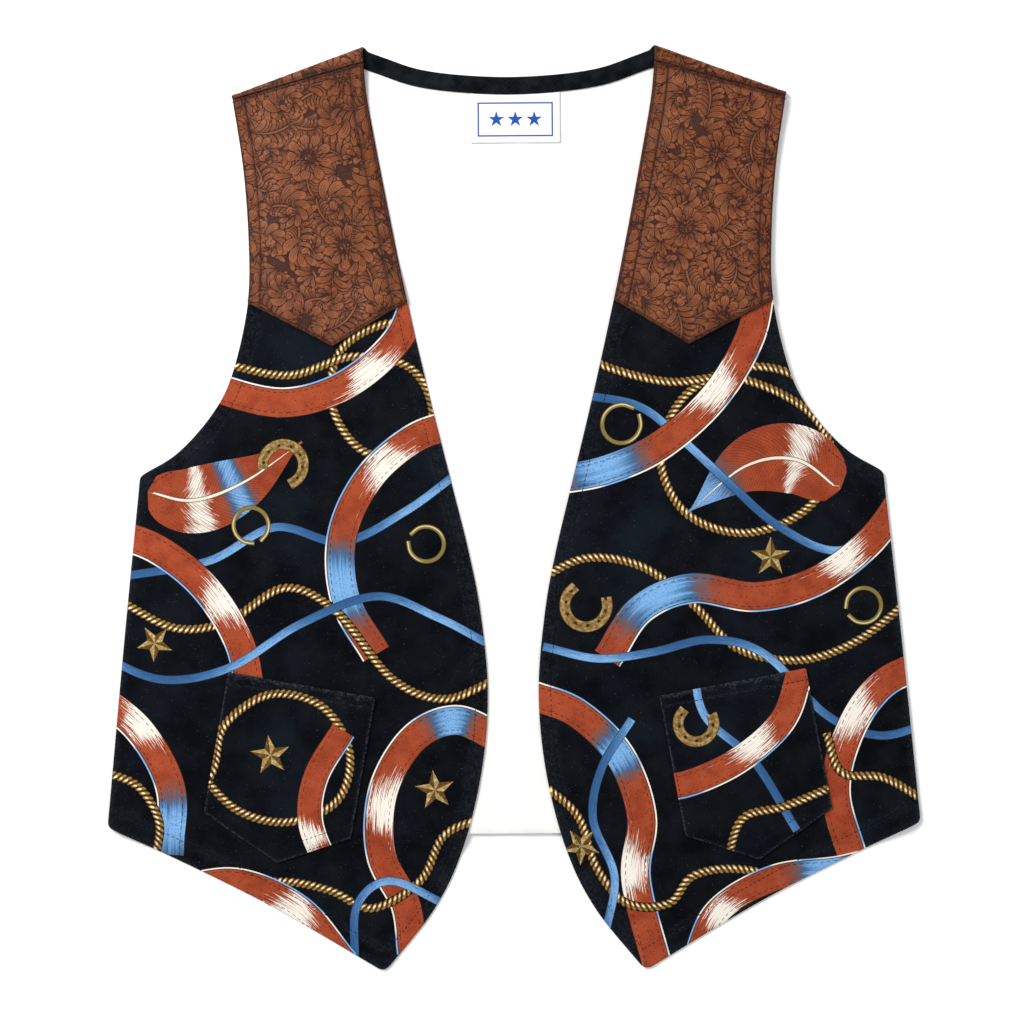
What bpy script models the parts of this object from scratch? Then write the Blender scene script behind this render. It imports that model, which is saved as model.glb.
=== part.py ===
"""A western vest lying flat and open on its back, at real size.

Lengths are in metres. +X is the wearer's left side, +Y runs from the hem to the shoulders
and +Z points up from the surface that the vest lies on. The origin is on that surface,
under the middle of the vest.

The left half is drawn and the right half mirrors it. From the surface up, the layers are
the back panel and back yoke, the back lining, the neck facing and label, then the fronts
with their yokes and pockets. The back yoke folds over each shoulder to its seam with the
front yoke.
"""

import math
from collections import namedtuple

import bpy
import numpy as np
from mathutils import Vector
from mathutils.geometry import delaunay_2d_cdt

# Cloth and gaps
TWILL = 0.0012
LEATHER = 0.0014
LINING = 0.0010
FACING = 0.0010
LABEL = 0.0010
GAP = 0.0003
LINING_LEVEL = LEATHER + GAP
LINING_TOP = LINING_LEVEL + LINING
FRONT_LEVEL = LINING_TOP + GAP

# Outline of one front. x runs out from the vest's centre line, y up the page
Place = namedtuple("Place", "x y")
SHOULDER_NECK = Place(0.0955, 0.3048)
SHOULDER_TIP = Place(0.1835, 0.2731)
SEAM_NECK = Place(0.0958, 0.2938)
SEAM_TIP = Place(0.1824, 0.2703)
FRONT_POINT = Place(0.0862, -0.3068)
HEM_CORNER = Place(0.2686, -0.2096)
ARMPIT = Place(0.2455, 0.0220)
YOKE_TIP = Place(0.1175, 0.1065)
YOKE_ARMHOLE = Place(0.1734, 0.1358)
YOKE_FRONT = Place(0.0680, 0.1361)
FRONT_EDGE = [
    SEAM_NECK,
    Place(0.0936, 0.2700),
    Place(0.0876, 0.2358),
    Place(0.0776, 0.1830),
    YOKE_FRONT,
    Place(0.0548, 0.0774),
    Place(0.0386, 0.0114),
    Place(0.0290, -0.0282),
    Place(0.0215, -0.0678),
    Place(0.0168, -0.1206),
    Place(0.0211, -0.1734),
    Place(0.0343, -0.2262),
    Place(0.0535, -0.2658),
    FRONT_POINT,
]
HEM = [FRONT_POINT, Place(0.1548, -0.2660), Place(0.2053, -0.2398), HEM_CORNER]
SIDE = [HEM_CORNER, Place(0.2575, -0.0942), ARMPIT]
ARMHOLE = [
    ARMPIT,
    Place(0.2198, 0.0378),
    Place(0.1964, 0.0642),
    Place(0.1835, 0.0906),
    YOKE_ARMHOLE,
    Place(0.1726, 0.1764),
    Place(0.1756, 0.2226),
    SEAM_TIP,
]
POINT_ROUND = 0.006
HEM_CORNER_ROUND = 0.004
ARMPIT_ROUND = 0.003

# Back
NECK_CURVE = [
    Place(0.0, 0.2841),
    Place(0.0347, 0.2859),
    Place(0.0607, 0.2899),
    Place(0.0822, 0.2973),
]
NECK_STEP = 0.007
BACK_HEM_DROP = 0.006
BACK_HEM_POINTS = 41
BACK_YOKE_POINT = Place(0.0, 0.1000)
LINING_SIDE_INSET = 0.010
LINING_FOLD_INSET = 0.0008
FACING_WIDTH = 0.0115
FACING_END_X = 0.0922
LABEL_WIDTH = 0.0592
LABEL_HEIGHT = 0.0320
LABEL_OFFSET = 0.0040

# Shoulder fold: outer radius of the back yoke's turn at the neck and at the tip
FOLD_RADIUS_NECK = 0.0045
FOLD_RADIUS_TIP = 0.0028
FOLD_STEPS = 8
FOLD_ROWS = 9
FOLD_ROW_INSET = 0.004
STRIP_NECK_START = -0.0015
BELOW_TIP = 0.002

# How the fronts lie
LOFT = 0.0034
LOFT_RUN = 0.065
SHOULDER_RUN = 0.045
SIDE_FALL_RUN = 0.010
HEM_FALL_RUN = 0.016
YOKE_LAP = 0.008
LAP_RUN = 0.022
EDGE_CALM = 4.0

# Pockets
Patch = namedtuple("Patch", "side x y")
POCKETS = [Patch(-1, 0.1474, -0.1621), Patch(1, 0.1527, -0.1621)]
POCKET_TILT = math.radians(10.3)
POCKET_WIDTH = 0.0985
POCKET_SIDE = 0.0940
POCKET_DEPTH = 0.1190
POCKET_POINT_SHIFT = -0.004
POCKET_ROUND = 0.0015
POCKET_HEM = 0.0075
POCKET_HEM_TURN = 0.001
POCKET_HEM_RISE = 0.0005

# Soft folds: a ridge, or a trough where height is negative, along a line. side 0 is both
Fold = namedtuple("Fold", "side x0 y0 x1 y1 half_width height")
FRONT_FOLDS = [
    Fold(1, 0.112, 0.204, 0.150, 0.190, 0.013, -0.0013),
    Fold(1, 0.100, 0.246, 0.138, 0.250, 0.012, 0.0007),
    Fold(1, 0.222, 0.008, 0.128, -0.052, 0.019, 0.0012),
    Fold(1, 0.064, 0.056, 0.108, -0.036, 0.020, -0.0009),
    Fold(1, 0.048, -0.178, 0.092, -0.252, 0.018, 0.0010),
    Fold(1, 0.226, -0.090, 0.232, -0.186, 0.016, -0.0008),
    Fold(-1, 0.104, 0.270, 0.146, 0.258, 0.011, -0.0012),
    Fold(-1, 0.150, 0.228, 0.152, 0.160, 0.013, 0.0008),
    Fold(-1, 0.216, 0.012, 0.150, -0.026, 0.020, 0.0011),
    Fold(-1, 0.190, 0.052, 0.120, 0.060, 0.018, -0.0007),
    Fold(-1, 0.060, -0.060, 0.086, -0.180, 0.020, -0.0009),
    Fold(-1, 0.226, -0.060, 0.150, -0.092, 0.019, 0.0008),
    Fold(-1, 0.120, -0.244, 0.210, -0.214, 0.014, 0.0008),
]
LINING_FOLDS = [
    Fold(0, -0.040, 0.214, -0.020, 0.030, 0.015, 0.0011),
    Fold(0, 0.046, 0.222, 0.018, 0.070, 0.014, 0.0009),
    Fold(0, 0.004, 0.150, 0.002, -0.050, 0.011, 0.0006),
]

# Mesh spacing
EDGE_STEP = 0.011
PANEL_STEP = 0.0135
LINING_STEP = 0.014
LINING_SHOWN_X = 0.090
FLAT_STEP = 0.200
CLEAR_OF_EDGE = 0.55
CLEAR_OF_LINE = 0.4
LEAST_SPACING = 0.0007
BELOW_ALL = -1.0
Layout = namedtuple("Layout", "points triangles")

Finish = namedtuple("Finish", "colour roughness")
NAVY_TWILL = Finish((0.012, 0.016, 0.026), 0.85)
TOOLED_LEATHER = Finish((0.215, 0.075, 0.032), 0.50)
CREAM_LINING = Finish((0.80, 0.78, 0.73), 0.80)
FACING_SATIN = Finish((0.008, 0.011, 0.018), 0.55)
WOVEN_LABEL = Finish((0.84, 0.84, 0.88), 0.65)


def smoothstep(value):
    """0 below 0, 1 above 1, and a smooth turn between."""
    t = np.clip(value, 0.0, 1.0)
    return t * t * (3.0 - 2.0 * t)


def curve_through(places, step=EDGE_STEP):
    """A smooth curve through the places, as points about one step apart, both ends kept."""
    knots = np.array(places, float)
    before = 2 * knots[0] - knots[1]
    after = 2 * knots[-1] - knots[-2]
    padded = np.vstack([before, knots, after])
    points = []
    for i in range(1, len(padded) - 2):
        p0, p1, p2, p3 = padded[i - 1 : i + 3]
        count = max(1, round(float(np.linalg.norm(p2 - p1)) / step))
        for t in np.arange(count) / count:
            bend = (p2 - p0) * t + (2 * p0 - 5 * p1 + 4 * p2 - p3) * t**2
            points.append(p1 + 0.5 * (bend + (3 * p1 - p0 - 3 * p2 + p3) * t**3))
    points.append(knots[-1])
    return np.array(points)


def mirrored(points):
    """The points on the other side of the centre line, in reverse order."""
    return np.array(points)[::-1] * (-1.0, 1.0)


def towards(corner, place, distance):
    """The point at a distance from a corner on the way to a place, or that place."""
    away = place - corner
    return corner + away * min(1.0, distance / np.linalg.norm(away))


def joined(curves, radii, steps=4):
    """One closed outline from curves laid end to end.

    radii holds the rounding of the corner that follows each curve, 0 for a sharp one.
    """
    outline = []
    for i, curve in enumerate(curves):
        corner = curve[-1]
        from_start = np.linalg.norm(curve - curve[0], axis=1)
        from_corner = np.linalg.norm(curve - corner, axis=1)
        outline.extend(curve[(from_start >= radii[i - 1]) & (from_corner > radii[i])])
        if radii[i] == 0.0:
            continue
        following = curves[(i + 1) % len(curves)]
        beyond = following[np.linalg.norm(following - corner, axis=1) >= radii[i]][0]
        before = towards(corner, outline[-1], radii[i])
        after = towards(corner, beyond, radii[i])
        for t in np.linspace(0.0, 1.0, steps + 1):
            lead = before * (1 - t) + corner * t
            follow = corner * (1 - t) + after * t
            outline.append(lead * (1 - t) + follow * t)
    return without_repeats(np.array(outline))


def without_repeats(points):
    """The closed outline without points that nearly coincide with the one before."""
    kept = [points[0]]
    for point in points[1:]:
        if np.linalg.norm(point - kept[-1]) > LEAST_SPACING:
            kept.append(point)
    if np.linalg.norm(kept[-1] - kept[0]) <= LEAST_SPACING:
        kept.pop()
    return np.array(kept)


def distance_to(line, points):
    """How far each point is from a line of points."""
    starts, runs = line[:-1], np.diff(line, axis=0)
    squares = np.maximum((runs**2).sum(axis=1), 1e-18)
    offsets = points[:, None, :] - starts[None, :, :]
    share = np.clip((offsets * runs).sum(axis=2) / squares, 0.0, 1.0)
    nearest = offsets - share[:, :, None] * runs
    return np.sqrt((nearest**2).sum(axis=2)).min(axis=1)


def inside(outline, points):
    """True for each point within the closed outline."""
    found = np.zeros(len(points), bool)
    x, y = points[:, 0], points[:, 1]
    for (x0, y0), (x1, y1) in zip(outline, np.roll(outline, -1, axis=0)):
        if y0 == y1:
            continue
        crosses = (y0 > y) != (y1 > y)
        found ^= crosses & (x < x0 + (y - y0) * (x1 - x0) / (y1 - y0))
    return found


def filling(outline, step):
    """Points in even rows inside the outline, clear of its edge."""
    low, high = outline.min(axis=0), outline.max(axis=0)
    rows = [np.empty((0, 2))]
    for row, y in enumerate(np.arange(low[1] + step / 2, high[1], step * math.sin(math.pi / 3))):
        xs = np.arange(low[0] + step * (0.5 if row % 2 else 1.0), high[0], step)
        rows.append(np.column_stack([xs, np.full_like(xs, y)]))
    points = np.vstack(rows)
    points = points[inside(outline, points)]
    edge = np.vstack([outline, outline[:1]])
    return points[distance_to(edge, points) > CLEAR_OF_EDGE * step]


def fold_heights(folds, points, side):
    """The rise of the cloth at each point from the soft folds of one side."""
    rise = np.zeros(len(points))
    for fold in folds:
        if fold.side not in (0, side):
            continue
        line = np.array([(fold.x0, fold.y0), (fold.x1, fold.y1)])
        away = distance_to(line, points) / fold.half_width
        rise += fold.height * np.exp(-(away**2))
    return rise


# The shoulder line's own directions: along runs from neck to tip, outward across it
SHOULDER = np.array(SHOULDER_TIP) - np.array(SHOULDER_NECK)
SHOULDER_LENGTH = float(np.linalg.norm(SHOULDER))
ALONG = SHOULDER / SHOULDER_LENGTH
OUTWARD = np.array([-ALONG[1], ALONG[0]])


def shoulder_frame(points):
    """Each point's distance along the shoulder line from the neck, and outward past it."""
    offsets = np.array(points, float) - np.array(SHOULDER_NECK)
    return offsets @ ALONG, offsets @ OUTWARD


def fold_radius(along):
    """Outer radius of the shoulder fold at a distance along the shoulder."""
    share = np.clip(along / SHOULDER_LENGTH, 0.0, 1.0)
    return FOLD_RADIUS_NECK + (FOLD_RADIUS_TIP - FOLD_RADIUS_NECK) * share


def at_shoulder(along, outward):
    """The place at a distance along the shoulder line and outward past it."""
    return np.array(SHOULDER_NECK) + along * ALONG + outward * OUTWARD


def back_hem(x):
    """Height of the back's hem on the page at a distance from the centre line."""
    return HEM_CORNER.y - BACK_HEM_DROP * (1.0 - (x / HEM_CORNER.x) ** 2)


FRONT_LINE = curve_through(FRONT_EDGE)
HEM_LINE = curve_through(HEM)
SIDE_LINE = curve_through(SIDE)
ARMHOLE_LINE = curve_through(ARMHOLE)
FREE_EDGE = np.vstack([FRONT_LINE, HEM_LINE, SIDE_LINE, ARMHOLE_LINE])
YOKE_LINE = np.vstack(
    [
        curve_through([YOKE_ARMHOLE, YOKE_TIP]),
        curve_through([YOKE_TIP, YOKE_FRONT])[1:],
    ]
)


def part_of(line, low_y, high_y):
    """The points of a line whose height on the page is between two values."""
    return line[(line[:, 1] > low_y) & (line[:, 1] < high_y)]


def front_level(points, side):
    """Height of a front's underside, where it lies on the back, at points of the left half."""
    base = np.full(len(points), FRONT_LEVEL)
    to_side = distance_to(SIDE_LINE, points)
    side_fall = FRONT_LEVEL - (TWILL + GAP)
    base -= side_fall * (1.0 - smoothstep(to_side / SIDE_FALL_RUN))
    below_hem = back_hem(points[:, 0]) - points[:, 1]
    base *= 1.0 - smoothstep(below_hem / HEM_FALL_RUN)
    to_edge = np.clip(distance_to(FREE_EDGE, points) / LOFT_RUN, 0.0, 1.0)
    rise = LOFT * (1.0 - (1.0 - to_edge) ** 2)
    rise += fold_heights(FRONT_FOLDS, points, side) * smoothstep(to_edge * EDGE_CALM)
    along, outward = shoulder_frame(points)
    radius = fold_radius(along)
    held = smoothstep(1.0 + outward / SHOULDER_RUN)
    shoulder_level = 2.0 * radius - LEATHER
    return (base + rise) * (1.0 - held) + shoulder_level * held


def yoke_level(points, side):
    """Height of a front yoke's underside, which laps over the front panel's top edge."""
    along, outward = shoulder_frame(points)
    above = distance_to(YOKE_LINE, points)
    lap = 1.0 - smoothstep((above - YOKE_LAP) / LAP_RUN)
    lap *= 1.0 - smoothstep(1.0 + outward / SHOULDER_RUN)
    return front_level(points, side) + (TWILL + GAP) * lap


def lining_level(points):
    """Height of the lining's underside."""
    return LINING_LEVEL + fold_heights(LINING_FOLDS, points, 0)


def on_lining(points):
    """Height of the underside of what is sewn on the lining."""
    return lining_level(points) + LINING + GAP


def level_sheet(level, thickness):
    """Maps flat points to the under and outer face of cloth lying at a level."""

    def surfaces(points):
        under = level(points)
        return (
            np.column_stack([points, under]),
            np.column_stack([points, under + thickness]),
        )

    return surfaces


def folded_shoulders(points):
    """Maps the flat back yoke to its two faces, folding each shoulder strip over the top."""
    left = np.column_stack([np.abs(points[:, 0]), points[:, 1]])
    along, outward = shoulder_frame(left)
    radius = fold_radius(along)
    middle_radius = radius - LEATHER / 2
    past = np.maximum(outward + radius, 0.0)
    angle = np.minimum(past / middle_radius, math.pi)
    beyond = np.maximum(past - math.pi * middle_radius, 0.0)
    faces = []
    for face_radius in (radius, middle_radius - LEATHER / 2):
        across = -radius + face_radius * np.sin(angle) - beyond
        height = radius - face_radius * np.cos(angle)
        moved = left + (across - outward)[:, None] * OUTWARD
        moved = np.where((past > 0.0)[:, None], moved, left)
        moved[:, 0] *= np.where(points[:, 0] < 0.0, -1.0, 1.0)
        faces.append(np.column_stack([moved, height]))
    return faces[0], faces[1]


def lay_out(outline, step, lines=(), extra=()):
    """Divides the area inside a closed outline into triangles, about one step wide.

    Their edges also follow the lines, and extra holds more points that they need.
    """
    closed = np.vstack([outline, outline[:1]])
    fill = filling(outline, step)
    parts = [outline]
    edges = []
    count = len(outline)
    for line in lines:
        edges += [(count + i, count + i + 1) for i in range(len(line) - 1)]
        count += len(line)
        parts.append(line)
        fill = fill[distance_to(line, fill) > CLEAR_OF_LINE * step]
    if len(extra):
        extra = extra[inside(outline, extra)]
        parts.append(extra[distance_to(closed, extra) > LEAST_SPACING])
    flat = np.vstack([*parts, fill])
    loop = list(range(len(outline)))
    made = delaunay_2d_cdt([Vector(p) for p in flat], edges, [loop], 1, 1e-6, False)
    points = np.array([tuple(v) for v in made[0]])
    triangles = np.array(made[2])
    triangles = triangles[inside(outline, points[triangles].mean(axis=1))]
    a, b, c = (points[triangles[:, i]] for i in range(3))
    turned = np.cross(b - a, c - a) < 0.0
    triangles[turned] = triangles[turned][:, ::-1]
    return Layout(points, triangles)


def cut(name, finish, layout, outline, surfaces, side=1):
    """Cuts one piece of cloth, as a closed solid, from the part of a layout in an outline.

    surfaces maps flat points to the cloth's under and outer face. side is -1 for a piece
    of the right half, whose layout and surfaces are those of the left half.
    """
    chosen = layout.triangles[inside(outline, layout.points[layout.triangles].mean(axis=1))]
    used, triangles = np.unique(chosen, return_inverse=True)
    triangles = triangles.reshape(-1, 3)
    if side < 0:
        triangles = triangles[:, ::-1]
    under, outer = surfaces(layout.points[used])
    count = len(used)
    faces = [tuple(int(i) for i in t) for t in triangles + count]
    faces += [tuple(int(i) for i in t[::-1]) for t in triangles]
    directed = {(int(t[i]), int(t[(i + 1) % 3])) for t in triangles for i in range(3)}
    for start, end in sorted(directed):
        if (end, start) not in directed:
            faces.append((start, end, end + count, start + count))
    mesh = bpy.data.meshes.new(name)
    corners = np.vstack([under, outer]) * (side, 1.0, 1.0)
    mesh.from_pydata([tuple(p) for p in corners], [], faces)
    mesh.materials.append(material(name, finish))
    mesh.shade_smooth()
    mesh.set_sharp_from_angle(angle=math.radians(40))
    piece = bpy.data.objects.new(name, mesh)
    bpy.context.scene.collection.objects.link(piece)
    return piece


def material(name, finish):
    """A plain finish for one piece."""
    made = bpy.data.materials.new(name)
    made.use_nodes = True
    shader = made.node_tree.nodes["Principled BSDF"]
    shader.inputs["Base Color"].default_value = (*finish.colour, 1.0)
    shader.inputs["Roughness"].default_value = finish.roughness
    shader.inputs["Metallic"].default_value = 0.0
    return made


def at_line(line, y):
    """The place where a line passes a height on the page."""
    order = np.argsort(line[:, 1])
    return Place(float(np.interp(y, line[order, 1], line[order, 0])), y)


def lap_line():
    """The hidden top edge of a printed front, under its yoke, from armhole to front edge."""
    outer = at_line(ARMHOLE_LINE, YOKE_ARMHOLE.y + YOKE_LAP)
    middle = Place(YOKE_TIP.x, YOKE_TIP.y + YOKE_LAP)
    inner = at_line(FRONT_LINE, YOKE_FRONT.y + YOKE_LAP)
    return np.vstack([curve_through([outer, middle]), curve_through([middle, inner])[1:]])


def pocket_frame(patch):
    """A pocket's middle and its directions across and up."""
    across = np.array([math.cos(POCKET_TILT), math.sin(POCKET_TILT)])
    return np.array([patch.x, patch.y]), across, np.array([-across[1], across[0]])


def pocket_outline(patch):
    """The five-sided edge of a pocket."""
    half = POCKET_WIDTH / 2
    corners = [
        (-half, POCKET_SIDE / 2),
        (-half, -POCKET_SIDE / 2),
        (POCKET_POINT_SHIFT, POCKET_SIDE / 2 - POCKET_DEPTH),
        (half, -POCKET_SIDE / 2),
        (half, POCKET_SIDE / 2),
    ]
    centre, across, up = pocket_frame(patch)
    placed = [Place(*(centre + x * across + y * up)) for x, y in corners]
    edges = [curve_through([a, b]) for a, b in zip(placed, placed[1:] + placed[:1])]
    return joined(edges, [POCKET_ROUND] * len(edges), steps=2)


def pocket_hem_line(patch, drop):
    """A line across a pocket, drop below its top edge."""
    centre, across, up = pocket_frame(patch)
    half = POCKET_WIDTH / 2
    ends = [centre + x * across + (POCKET_SIDE / 2 - drop) * up for x in (-half, half)]
    return curve_through([Place(*ends[0]), Place(*ends[1])])


def front(patch):
    """One front: its printed panel, the yoke lapped over its top, and its pocket."""
    side = patch.side
    lap = lap_line()
    seam = np.array([SEAM_TIP, SEAM_NECK]) - GAP * OUTWARD
    edge_above = part_of(FRONT_LINE, YOKE_FRONT.y, seam[1][1])
    front_edge = np.vstack([[seam[1]], edge_above, [YOKE_FRONT]])
    edge_below = part_of(FRONT_LINE, BELOW_ALL, YOKE_FRONT.y)
    armhole_below = part_of(ARMHOLE_LINE, BELOW_ALL, YOKE_ARMHOLE.y)
    armhole_above = part_of(ARMHOLE_LINE, YOKE_ARMHOLE.y, seam[0][1])
    armhole_above = np.vstack([[YOKE_ARMHOLE], armhole_above, [seam[0]]])
    seam = curve_through([Place(*place) for place in seam])
    whole = joined(
        [
            np.vstack([front_edge, edge_below]),
            HEM_LINE,
            SIDE_LINE,
            np.vstack([armhole_below, armhole_above]),
            seam,
        ],
        [POINT_ROUND, HEM_CORNER_ROUND, ARMPIT_ROUND, 0.0, 0.0],
    )
    printed = joined(
        [
            np.vstack([lap[-1:], part_of(front_edge, 0.0, lap[-1][1]), edge_below]),
            HEM_LINE,
            SIDE_LINE,
            np.vstack([armhole_below, part_of(armhole_above, 0.0, lap[0][1]), lap[:1]]),
            lap,
        ],
        [POINT_ROUND, HEM_CORNER_ROUND, ARMPIT_ROUND, 0.0, 0.0],
    )
    yoke = np.vstack([front_edge, YOKE_LINE[-2::-1], armhole_above[1:], seam[1:-1]])
    patch_edge = pocket_outline(patch)
    hem_lines = [pocket_hem_line(patch, POCKET_HEM + drop) for drop in (0.0, POCKET_HEM_TURN)]
    closed_patch = np.vstack([patch_edge, patch_edge[:1]])
    layout = lay_out(whole, PANEL_STEP, [YOKE_LINE, lap, closed_patch, *hem_lines])

    def pocket_surfaces(points):
        under = front_level(points, side) + TWILL + GAP
        centre, _, up = pocket_frame(patch)
        from_top = POCKET_SIDE / 2 - (points - centre) @ up
        hem = POCKET_HEM_RISE * (1.0 - smoothstep((from_top - POCKET_HEM) / POCKET_HEM_TURN))
        outer = under + TWILL + hem
        return np.column_stack([points, under]), np.column_stack([points, outer])

    hand = "left" if side > 0 else "right"
    lying = level_sheet(lambda points: front_level(points, side), TWILL)
    lapped = level_sheet(lambda points: yoke_level(points, side), LEATHER)
    cut(f"front_panel_{hand}", NAVY_TWILL, layout, printed, lying, side)
    cut(f"front_yoke_{hand}", TOOLED_LEATHER, layout, yoke, lapped, side)
    cut(f"pocket_{hand}", NAVY_TWILL, layout, patch_edge, pocket_surfaces, side)


def back_neck_end():
    """Where the back's neck edge reaches the start of the shoulder fold."""
    radius = float(fold_radius(np.array(STRIP_NECK_START)))
    return Place(*at_shoulder(STRIP_NECK_START, -radius))


def back_panel():
    """The plain back below its yoke."""
    hem_x = np.linspace(-HEM_CORNER.x, HEM_CORNER.x, BACK_HEM_POINTS)
    hem = np.column_stack([hem_x, back_hem(hem_x)])
    corner = at_line(ARMHOLE_LINE, YOKE_ARMHOLE.y - GAP)
    armhole = np.vstack([part_of(ARMHOLE_LINE, BELOW_ALL, corner.y), [corner]])
    point = Place(BACK_YOKE_POINT.x, BACK_YOKE_POINT.y - GAP)
    top = curve_through([corner, point])
    top = np.vstack([top, mirrored(top)[1:]])
    outline = joined(
        [hem, SIDE_LINE, armhole, top, mirrored(armhole), mirrored(SIDE_LINE)],
        [HEM_CORNER_ROUND, ARMPIT_ROUND, 0.0, 0.0, ARMPIT_ROUND, HEM_CORNER_ROUND],
    )
    surfaces = level_sheet(lambda points: np.zeros(len(points)), TWILL)
    cut("back_panel", NAVY_TWILL, lay_out(outline, FLAT_STEP), outline, surfaces)


def strip_edge(start_along, end_along, width):
    """One edge of a shoulder strip in the unfolded yoke, from the fold's start to its seam.

    width is how far inside the shoulder line the seam lies once the strip is folded over.
    """
    radius = float(fold_radius(np.array(end_along)))
    turn = math.pi * (radius - LEATHER / 2)
    run = turn + max(0.0, width - radius)
    places = []
    for past in [*np.linspace(0.0, turn, FOLD_STEPS + 1), run]:
        along = start_along + (end_along - start_along) * past / run
        places.append(at_shoulder(along, past - float(fold_radius(np.array(along)))))
    return np.array(places)


def back_yoke():
    """The tooled back yoke, folded over both shoulders to the seams with the front yokes."""
    seam_along, seam_outward = shoulder_frame([SEAM_NECK, SEAM_TIP])
    neck_strip = strip_edge(STRIP_NECK_START, seam_along[0], -seam_outward[0])
    tip_strip = strip_edge(SHOULDER_LENGTH, seam_along[1], -seam_outward[1])
    armhole = part_of(ARMHOLE_LINE, YOKE_ARMHOLE.y, tip_strip[0][1] - BELOW_TIP)
    lower = curve_through([YOKE_ARMHOLE, BACK_YOKE_POINT])
    neck = curve_through([*NECK_CURVE, Place(*neck_strip[0])], NECK_STEP)
    seam = curve_through([Place(*tip_strip[-1]), Place(*neck_strip[-1])])
    neck_side = np.vstack([neck_strip[-2::-1], neck[-2::-1]])
    left_half = np.vstack([lower[::-1], armhole, tip_strip, seam[1:], neck_side])
    outline = without_repeats(np.vstack([left_half, mirrored(left_half)]))
    turns = []
    for along in np.linspace(FOLD_ROW_INSET, SHOULDER_LENGTH - FOLD_ROW_INSET, FOLD_ROWS):
        radius = float(fold_radius(np.array(along)))
        for share in np.linspace(0.0, 1.0, FOLD_STEPS + 1):
            past = share * math.pi * (radius - LEATHER / 2)
            turns.append(at_shoulder(along, past - radius))
    turns = np.array(turns)
    extra = np.vstack([turns, turns * (-1.0, 1.0)])
    layout = lay_out(outline, FLAT_STEP, extra=extra)
    cut("back_yoke", TOOLED_LEATHER, layout, outline, folded_shoulders)


def back_lining():
    """The pale lining of the back, seen between the fronts."""
    neck_end, tip_end = (
        Place(*at_shoulder(along, -radius - LINING_FOLD_INSET))
        for along, radius in ((0.0, FOLD_RADIUS_NECK), (SHOULDER_LENGTH, FOLD_RADIUS_TIP))
    )
    side = SIDE_LINE - (LINING_SIDE_INSET, 0.0)
    hem_x = np.linspace(-side[0][0], side[0][0], BACK_HEM_POINTS)
    hem = np.column_stack([hem_x, back_hem(hem_x)])
    armhole = part_of(ARMHOLE_LINE, ARMPIT.y, tip_end.y - BELOW_TIP)
    armhole = armhole[armhole[:, 0] < side[-1][0]]
    neck = curve_through([*NECK_CURVE, neck_end], NECK_STEP)
    half = np.vstack([side[1:], armhole, [tip_end], neck[::-1]])
    outline = without_repeats(np.vstack([hem, half, mirrored(half)]))
    shown = filling(outline, LINING_STEP)
    shown = shown[np.abs(shown[:, 0]) < LINING_SHOWN_X]
    layout = lay_out(outline, FLAT_STEP, extra=shown)
    cut("back_lining", CREAM_LINING, layout, outline, level_sheet(lining_level, LINING))


def neck_line():
    """The back's neck edge, between the two ends of the facing."""
    left_half = curve_through([*NECK_CURVE, back_neck_end()], NECK_STEP)
    left_half = left_half[left_half[:, 0] <= FACING_END_X]
    return np.vstack([mirrored(left_half), left_half[1:]])


def offset_inward(line, width):
    """A line moved to its right-hand side by width."""
    run = np.gradient(line, axis=0)
    run /= np.linalg.norm(run, axis=1)[:, None]
    return line + width * np.column_stack([run[:, 1], -run[:, 0]])


def neck_facing():
    """The dark facing along the inside of the back's neck edge."""
    edge = neck_line()
    outline = np.vstack([edge, offset_inward(edge, FACING_WIDTH)[::-1]])
    surfaces = level_sheet(on_lining, FACING)
    cut("neck_facing", FACING_SATIN, lay_out(outline, FLAT_STEP), outline, surfaces)


def neck_label():
    """The bare woven label, sewn on under the facing's lower edge."""
    lower = offset_inward(neck_line(), FACING_WIDTH + GAP)
    left, right = LABEL_OFFSET - LABEL_WIDTH / 2, LABEL_OFFSET + LABEL_WIDTH / 2
    top_x = np.linspace(left, right, 7)
    top = np.column_stack([top_x, np.interp(top_x, lower[:, 0], lower[:, 1])])
    bottom_y = NECK_CURVE[0].y - FACING_WIDTH - LABEL_HEIGHT
    bottom_x = np.linspace(right, left, 5)
    bottom = np.column_stack([bottom_x, np.full(5, bottom_y)])
    outline = np.vstack([top, bottom])
    surfaces = level_sheet(on_lining, LABEL)
    cut("neck_label", WOVEN_LABEL, lay_out(outline, FLAT_STEP), outline, surfaces)


def main():
    """Clears the scene and makes every piece of the vest."""
    for old in list(bpy.data.objects):
        bpy.data.objects.remove(old)
    back_panel()
    back_yoke()
    back_lining()
    neck_facing()
    neck_label()
    for patch in POCKETS:
        front(patch)


main()
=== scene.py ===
"""Dresses a western vest that lies flat and open on its back, as seen from above.

Lengths are in metres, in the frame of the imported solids. Outlines and levels are those of
the solids: the left half is drawn and the right half mirrors it. Each piece of cloth is a
closed shell on its solid's form, with turned edges, seam grooves and puckers. Printed
pieces carry their motifs in the mesh, so that each motif has its own finish and the
finish can follow the motif. Tooled leather is carved into the mesh.
"""

import logging
import math
from collections.abc import Callable, Sequence
from dataclasses import dataclass, field
from enum import Enum
from functools import cached_property

import bpy
import numpy as np
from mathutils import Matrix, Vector
from mathutils.geometry import delaunay_2d_cdt


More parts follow.
